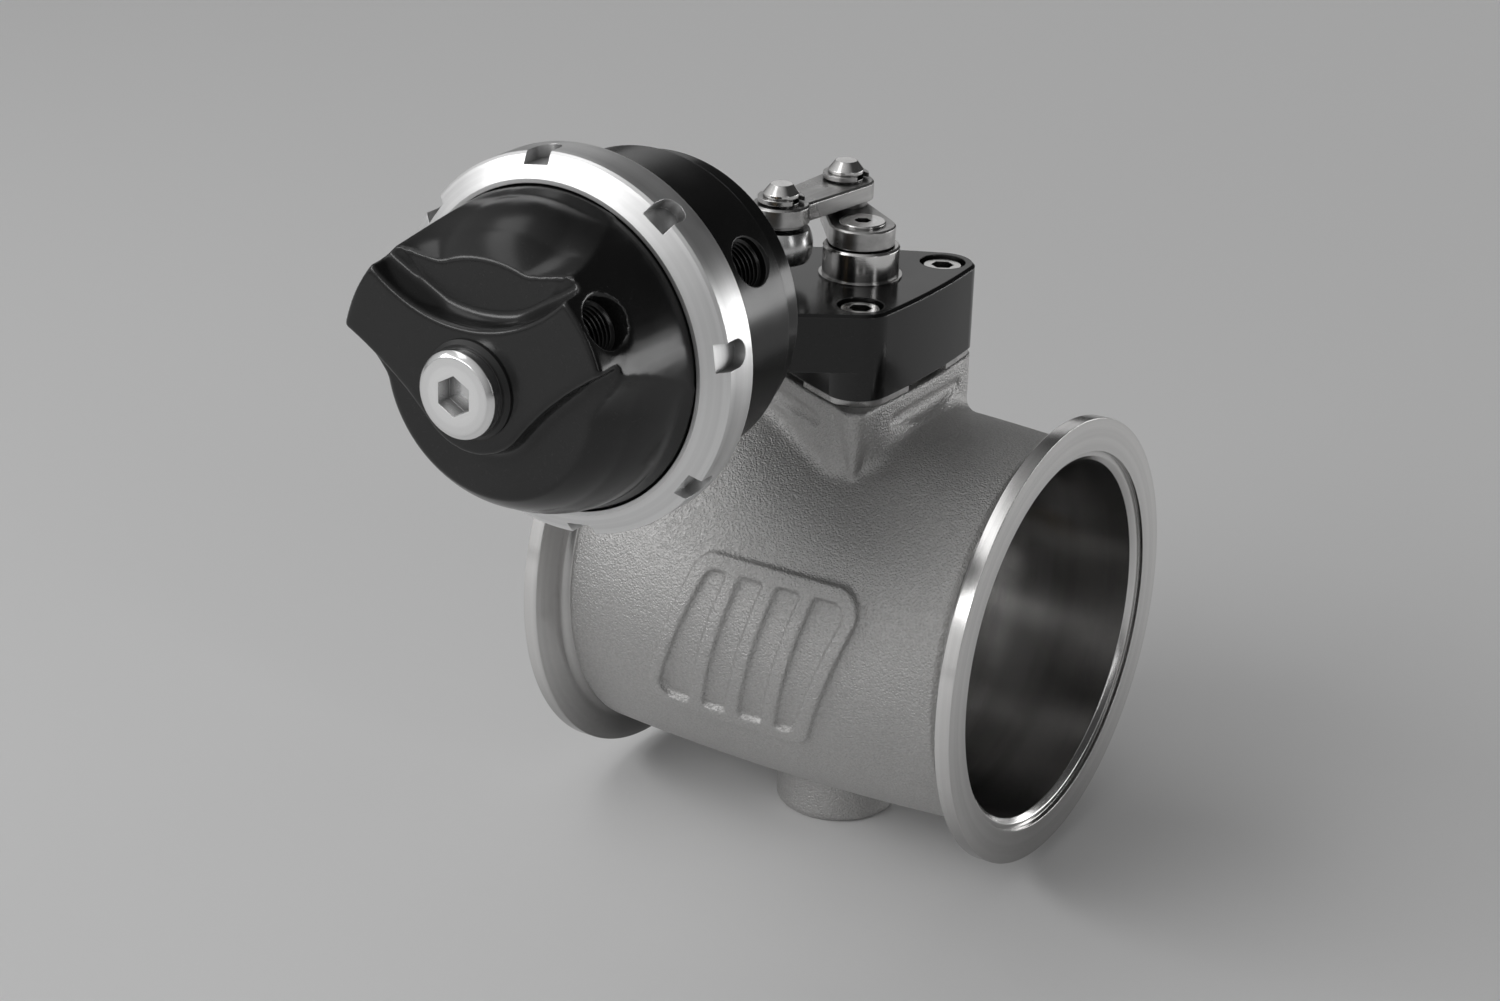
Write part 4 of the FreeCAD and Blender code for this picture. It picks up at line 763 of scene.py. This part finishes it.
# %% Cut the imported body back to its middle
SKIN_END = 42.35 * MM
SKIN_BORE, SKIN_BORE_LENGTH = 37.6 * MM, 120.0 * MM
skin = copy_packed("valve_body", "cast_skin")
merge_patches(skin)
bpy.ops.object.mode_set(mode="EDIT")
for side in (1, -1):
    bpy.ops.mesh.select_all(action="SELECT")
    bpy.ops.mesh.bisect(
        plane_co=(PIPE_CENTRE.x + side * SKIN_END, 0, 0), plane_no=(side, 0, 0),
        use_fill=True, clear_outer=True)
bpy.ops.object.mode_set(mode="OBJECT")
cut_away(skin, add_rod("skin_bore", PIPE_CENTRE, ALONG_PIPE, SKIN_BORE, SKIN_BORE_LENGTH, sides=160))
print("skin faces before melting:", len(skin.data.polygons))

# %% Melt it into a casting
modify(skin, "REMESH", mode="VOXEL", voxel_size=0.46 * MM, use_smooth_shade=True)
modify(skin, "SMOOTH", factor=0.5, iterations=2)
modify(skin, "DECIMATE", ratio=0.34)
bpy.ops.object.shade_smooth()
hand_over(skin, cast_grey, "valve", "cast_steel", "valve_body")
print("cast skin faces:", len(skin.data.polygons))

# %% [markdown]
# ## The cap
# The cap's two lobes sweep outwards to the ends of the band and meet them in a clean
# crease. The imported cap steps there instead. Its copy is remeshed finely, its lobes
# are drawn out beside each end of the band by a small formula, and it is remeshed
# and smoothed once more, which gives the soft, poured look of the real cap.

# %% Measures of the cap, in mm from the actuator's middle
LOBE_RADIUS, LOBE_START, LOBE_END = 29.7, 91.5, 108.3
LOBE_CURVE, CURVE_CENTRE, CURVE_ALONG = 21.0, 8.7, 91.65
CONE_START, CONE_LENGTH, CONE_DROP = 91.0, 22.5, 2.1
END_FRONT, END_HALF, END_FLARE = 112.6, 5.4, math.tan(math.radians(25.0))
END_ANGLES = (32.0, 153.0)
SWEEP, WAIST, LOBE_FOOT = 6.0, 1.3, 88.8
WAIST_OPENS, WAIST_CLOSES = 3.0, 6.0
BELOW_SURFACE, END_MARGIN = 0.7, 0.3
SWEPT_FROM, SWEPT_TO = 88.5, LOBE_END + 0.15
FAR_SIDE, STAYS_PUT = 99.0, 0.001


def held(value):
    """A value kept between nought and one."""
    return min(max(value, 0.0), 1.0)


def lobe_radius(along):
    """The lobes' radius at a distance in front of the actuator's middle."""
    if along < LOBE_START:
        return LOBE_RADIUS
    return CURVE_CENTRE + math.sqrt(LOBE_CURVE ** 2 - (min(along, LOBE_END) - CURVE_ALONG) ** 2)


def end_radius(along):
    """The radius of the cap's slight cone at the band's ends."""
    return LOBE_RADIUS - CONE_DROP * (along - CONE_START) / CONE_LENGTH


def end_half_width(along):
    """Half the width of an end of the band, which flares towards the collar."""
    return END_HALF + (END_FRONT - along) * END_FLARE


print("an end's half width at the lobes' foot:", round(end_half_width(LOBE_FOOT), 2))

# %% [markdown]
# A point moves only straight away from the axis or towards it. How far depends on
# how near it is to an end of the band: beside the end it is drawn out to the end's
# own radius, and further off it sinks a little, which gives the lobe its waist.

# %% How far a point of a lobe moves
def swept_radius(along, across, radius):
    """A lobe's radius, drawn out where it comes near an end of the band."""
    low, high = lobe_radius(along), end_radius(along)
    half = end_half_width(along)
    if radius < low - BELOW_SURFACE or across < half - END_MARGIN:
        return radius
    near = held(1 - (across - half) / SWEEP)
    waist = WAIST * held((along - LOBE_FOOT) / WAIST_OPENS) * held((LOBE_END - along) / WAIST_CLOSES)
    return low - waist + (high - low + waist) * near ** 1.5


def towards(angle):
    """The direction away from the actuator's axis at an angle in degrees."""
    return Vector((math.cos(math.radians(angle)), 0, math.sin(math.radians(angle))))


def across_from_end(place, angle):
    """How far a point is to the side of an end's middle line, or far off behind the axis."""
    out = towards(angle)
    if place.x * out.x + place.z * out.z <= 0:
        return FAR_SIDE
    return abs(place.z * out.x - place.x * out.z)


def wanted_radius(place, along, radius):
    """The radius that a point should have; points on an end of the band stay."""
    sides = [across_from_end(place, angle) for angle in END_ANGLES]
    if min(sides) < end_half_width(along) - END_MARGIN:
        return radius
    return max(swept_radius(along, across, radius) for across in sides)


LOOK_AT = 100.0
print("a lobe's radius:", round(lobe_radius(LOOK_AT), 2),
      "and beside an end:", round(swept_radius(LOOK_AT, end_half_width(LOOK_AT), LOBE_RADIUS), 2))

# %% Sweep the lobes
cap = copy_packed("actuator_cap", "flowing_cap")
merge_patches(cap)
modify(cap, "REMESH", mode="VOXEL", voxel_size=0.45 * MM)
moved = 0
for vertex in cap.data.vertices:
    place = (vertex.co - ROD_AXIS) / MM
    along, radius = -vertex.co.y / MM, math.hypot(place.x, place.z)
    if not SWEPT_FROM < along < SWEPT_TO:
        continue
    wanted = wanted_radius(place, along, radius)
    if abs(wanted - radius) > STAYS_PUT:
        vertex.co.x += place.x * (wanted / radius - 1) * MM
        vertex.co.z += place.z * (wanted / radius - 1) * MM
        moved += 1
print("vertices swept:", moved)

# %% Melt the edges and open the port again
PORT_ANGLE, PORT_ALONG, PORT_OUT, PORT_RADIUS, DRILL = 33.0, 107.0, 25.0, 4.75, 10.0
modify(cap, "REMESH", mode="VOXEL", voxel_size=0.42 * MM, use_smooth_shade=True)
modify(cap, "SMOOTH", factor=0.5, iterations=3)
modify(cap, "DECIMATE", ratio=0.45)
mouth_spot = ROD_AXIS - ALONG_ROD * (PORT_ALONG * MM) + towards(PORT_ANGLE) * (PORT_OUT * MM)
cut_away(cap, add_rod("port_cutter", mouth_spot, towards(PORT_ANGLE), PORT_RADIUS * MM, DRILL * MM))
smooth(cap, 32)
hand_over(cap, black_cap, "valve", "black_anodised", "actuator_cap")
print("cap faces:", len(cap.data.polygons))

# %% [markdown]
# ## The plug
# A bright screw plug closes the middle of the cap. Its head is turned with a narrow
# chamfer, so it comes off the same lathe, and a bar with six sides cuts its socket.

# %% Plug
PLUG_FOOT, PLUG_SEAT, PLUG_FACE = 109.0, 114.6, 118.0
NECK_RADIUS, HEAD_RADIUS, CHAMFER_RADIUS, CHAMFER = 5.0, 7.9, 6.9, 0.9
SOCKET_RADIUS, SOCKET_LENGTH = 3.7 * MM, 6.4 * MM
plug = lathe("turned_plug", [
    (PLUG_FOOT, 0.0), (PLUG_FOOT, NECK_RADIUS), (PLUG_SEAT, NECK_RADIUS), (PLUG_SEAT, HEAD_RADIUS),
    (PLUG_FACE - CHAMFER, HEAD_RADIUS), (PLUG_FACE, CHAMFER_RADIUS), (PLUG_FACE, 0.0)],
    ROD_AXIS, -ALONG_ROD, UPRIGHT, steps=120, bevel=0.12)
socket_middle = ROD_AXIS - ALONG_ROD * (PLUG_FACE * MM)
cut_away(plug, add_rod("socket_bar", socket_middle, ALONG_ROD, SOCKET_RADIUS, SOCKET_LENGTH, sides=6))
crisp(plug)
hand_over(plug, plug_steel, "valve", "steel", "cap_plug")
print("plug faces after its socket:", len(plug.data.polygons))

# %% [markdown]
# ## The return spring
# The spring lies between the piston, which moves, and the cap, which doesn't. A
# rigid coil would run through the piston when the valve opens. Its copy here stays
# rigid: it is shaded smooth and given the spring wire's finish, and the imported coil is hidden.

# %% Spring
coil = copy_packed("return_spring", "closing_spring")
smooth(coil, 60)
give_finish(coil, spring_wire)
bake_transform(coil)
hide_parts("return_spring")
print("coil faces:", len(coil.data.polygons))

# %% [markdown]
# ## Threads in the two ports
# A tapped hole shows its thread as rings of light and shade. One tooth is drawn as a
# small plane with a narrow crest, stood beside the axis, and carried round and out
# of the hole by a Screw modifier, which is how a tap cuts it.

# %% Draw one tooth
PITCH, THREAD_ROOT, THREAD_CREST = 0.94, PORT_RADIUS, 4.1
TOOTH_SHARE, CREST_SHARE = 0.96, 0.12
TOOTH_MIDDLE = 5.0 * MM


def draw_tooth(name):
    """A tooth's section beside the Z axis, wide at its root and narrow at its crest."""
    select_none()
    bpy.ops.mesh.primitive_plane_add(size=PITCH * MM * TOOTH_SHARE)
    piece = bpy.context.object
    piece.name = name
    bpy.ops.object.mode_set(mode="EDIT")
    bpy.ops.mesh.select_all(action="SELECT")
    bpy.ops.transform.rotate(value=math.pi / 2, orient_axis="X", center_override=(0, 0, 0))
    bpy.ops.transform.translate(value=(TOOTH_MIDDLE, 0, 0))
    bpy.ops.object.mode_set(mode="OBJECT")
    for vertex in piece.data.vertices:
        if vertex.co.x < TOOTH_MIDDLE:
            vertex.co.z *= CREST_SHARE
            vertex.co.x = THREAD_CREST * MM
        else:
            vertex.co.x = THREAD_ROOT * MM
    return piece


# %% [markdown]
# The tooth's own Z axis then becomes the port's axis. Each port is given by its
# angle round the actuator, its place along it, and the radii between which its
# thread runs.

# %% Cut the threads
PORTS = {
    "housing_port_thread": (30.6, 64.8, 22.6, 28.3),
    "cap_port_thread": (PORT_ANGLE, PORT_ALONG, 19.8, 25.9),
}
STEPS_PER_TURN = 32


def port_thread(name, angle, back, inner, outer):
    """A thread on a port's wall, from one radius of the actuator to another, in mm."""
    direction = towards(angle)
    start = ROD_AXIS + direction * (inner * MM) - ALONG_ROD * (back * MM)
    turns = int((outer - inner) / PITCH)
    steps = STEPS_PER_TURN * turns
    piece = draw_tooth(name)
    modify(piece, "SCREW", axis="Z", angle=2 * math.pi * turns, screw_offset=PITCH * MM * turns,
           steps=steps, render_steps=steps, use_normal_calculate=True)
    turn = UPRIGHT.rotation_difference(direction).to_matrix().to_4x4()
    piece.matrix_world = Matrix.Translation(start) @ turn
    settle(piece)
    bpy.ops.object.mode_set(mode="EDIT")
    bpy.ops.mesh.select_all(action="SELECT")
    bpy.ops.mesh.remove_doubles(threshold=SAME_POINT)
    bpy.ops.mesh.normals_make_consistent(inside=False)
    bpy.ops.object.mode_set(mode="OBJECT")
    smooth(piece, 40)
    hand_over(piece, black_actuator, "valve", "black_anodised")
    print(name, "faces:", len(piece.data.polygons))


for thread_name, measures in PORTS.items():
    port_thread(thread_name, *measures)

# %% [markdown]
# ## The floor
# The object lies on a wide, pale, matt sheet, which is also all of the background
# that the camera sees. It keeps a soft shadow under the pipe.

# %% Floor
FLOOR_Z = cad_box[0][2]
FLOOR_SIZE = 9.0
select_none()
bpy.ops.mesh.primitive_plane_add(size=FLOOR_SIZE, location=(PIPE_CENTRE.x, 0, FLOOR_Z))
floor = bpy.context.object
floor.name = "studio_floor"
settle(floor)
floor_finish, floor_tree, floor_shader = new_finish("studio_floor", 0.0, 0.85, grey(0.82))
floor.data.materials.append(floor_finish)
floor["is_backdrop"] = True
print("floor at z in mm:", round(FLOOR_Z / MM, 2))

# %% [markdown]
# ## Lamps
# Large, soft lamps suit metal, because metal shows what it reflects: a big source
# gives broad highlights, and the darker room between the lamps gives the depth.
# Two long strips on the left light the cap and the casting, a narrow one stands on
# the right for the flange, and two lamps behind lift the far side.

# %% Lamps
AIM = Vector((PIPE_CENTRE.x, -0.02, 0.03))


def add_lamp(name, place, width, height, power):
    """A soft rectangular lamp that looks at the object's middle; sizes in metres, power in watts."""
    data = bpy.data.lights.new(name, "AREA")
    data.shape = "RECTANGLE"
    data.size = width
    data.size_y = height
    data.energy = power
    lamp = bpy.data.objects.new(name, data)
    bpy.context.scene.collection.objects.link(lamp)
    lamp.location = place
    lamp.rotation_euler = (AIM - Vector(place)).to_track_quat("-Z", "Y").to_euler()
    print("lamp:", name, power, "W")


add_lamp("upper_strip", (-0.55, -0.2, 0.95), 1.1, 0.3, 1.0)
add_lamp("lower_strip", (-0.56, -0.75, 0.58), 1.1, 0.2, 3.4)
add_lamp("right_strip", (0.95, -0.3, 0.42), 0.14, 0.6, 0.6)
add_lamp("back_strip", (0.75, 1.0, 0.1), 0.9, 0.3, 3.2)
add_lamp("far_fill", (-0.55, 1.0, 0.48), 0.9, 0.4, 0.6)

# %% [markdown]
# ## The room
# What the lamps don't reach, the room lights: pale towards the photographer's left
# and nearly dark opposite, so that every black surface has a light and a dark side.
# The camera itself sees one plain grey, which Light Path's Is Camera Ray gives.

# %% Room
BRIGHT_SIDE = (-0.56, -0.78, 0.28)
ROOM_DARK, ROOM_BRIGHT, ROOM_SEEN = grey(0.04), grey(0.58), grey(0.5)
world = bpy.data.worlds.new("studio_room")
bpy.context.scene.world = world
world.use_nodes = True
room = world.node_tree
looking = room.nodes.new("ShaderNodeTexCoord")
facing = put(room, "ShaderNodeVectorMath", {0: looking.outputs["Generated"], 1: BRIGHT_SIDE},
             operation="DOT_PRODUCT")
room_light = blend(room, ramp(room, facing.outputs["Value"], -0.15, 0.85), ROOM_DARK, ROOM_BRIGHT)
seen_by = room.nodes.new("ShaderNodeLightPath")
room_light = blend(room, seen_by.outputs["Is Camera Ray"], room_light, ROOM_SEEN)
room.links.new(room_light, room.nodes["Background"].inputs["Color"])
print("room nodes:", len(room.nodes))

# %% [markdown]
# ## The camera
# The camera stands where the photograph was taken. Its direction, tilt and distance
# were worked out from the outlines of circles that are truly round on the object:
# both flanges, the locking collar and the cap.

# %% Camera
VIEW_AZIMUTH = math.radians(31.0476)
VIEW_ELEVATION = math.radians(22.5405)
VIEW_ROLL = math.radians(1.8953)
VIEW_DISTANCE, VIEW_LEFT, VIEW_UP = 0.639434, 0.019697, 0.017031
LENS, SENSOR = 74.62, 36.0
back = Vector((
    math.sin(VIEW_AZIMUTH) * math.cos(VIEW_ELEVATION), -math.cos(VIEW_AZIMUTH) * math.cos(VIEW_ELEVATION),
    math.sin(VIEW_ELEVATION)))
level_right = (-back).cross(UPRIGHT).normalized()
level_up = level_right.cross(-back)
camera_right = math.cos(VIEW_ROLL) * level_right + math.sin(VIEW_ROLL) * level_up
camera_up = math.cos(VIEW_ROLL) * level_up - math.sin(VIEW_ROLL) * level_right
camera_data = bpy.data.cameras.new("camera")
camera_data.lens = LENS
camera_data.sensor_width = SENSOR
camera = bpy.data.objects.new("camera", camera_data)
bpy.context.scene.collection.objects.link(camera)
spot = PIPE_CENTRE + back * VIEW_DISTANCE - camera_right * VIEW_LEFT + camera_up * VIEW_UP
camera_turn = Matrix((camera_right, camera_up, back)).transposed().to_4x4()
camera.matrix_world = Matrix.Translation(spot) @ camera_turn
bpy.context.scene.camera = camera
bpy.context.scene.view_settings.view_transform = "Standard"
print("camera at", [round(value, 4) for value in spot])

# %% [markdown]
# ## Sizes and the end
# The new pieces must not make the object larger than its solids. Both boxes are
# measured, and the largest change between them is printed.

# %% Sizes and the end
dressed_box = [list(corner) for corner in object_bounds()]
changes = [abs(after - before) for corners in zip(cad_box, dressed_box) for before, after in zip(*corners)]
print("largest change of the box in mm:", round(max(changes) / MM, 4))
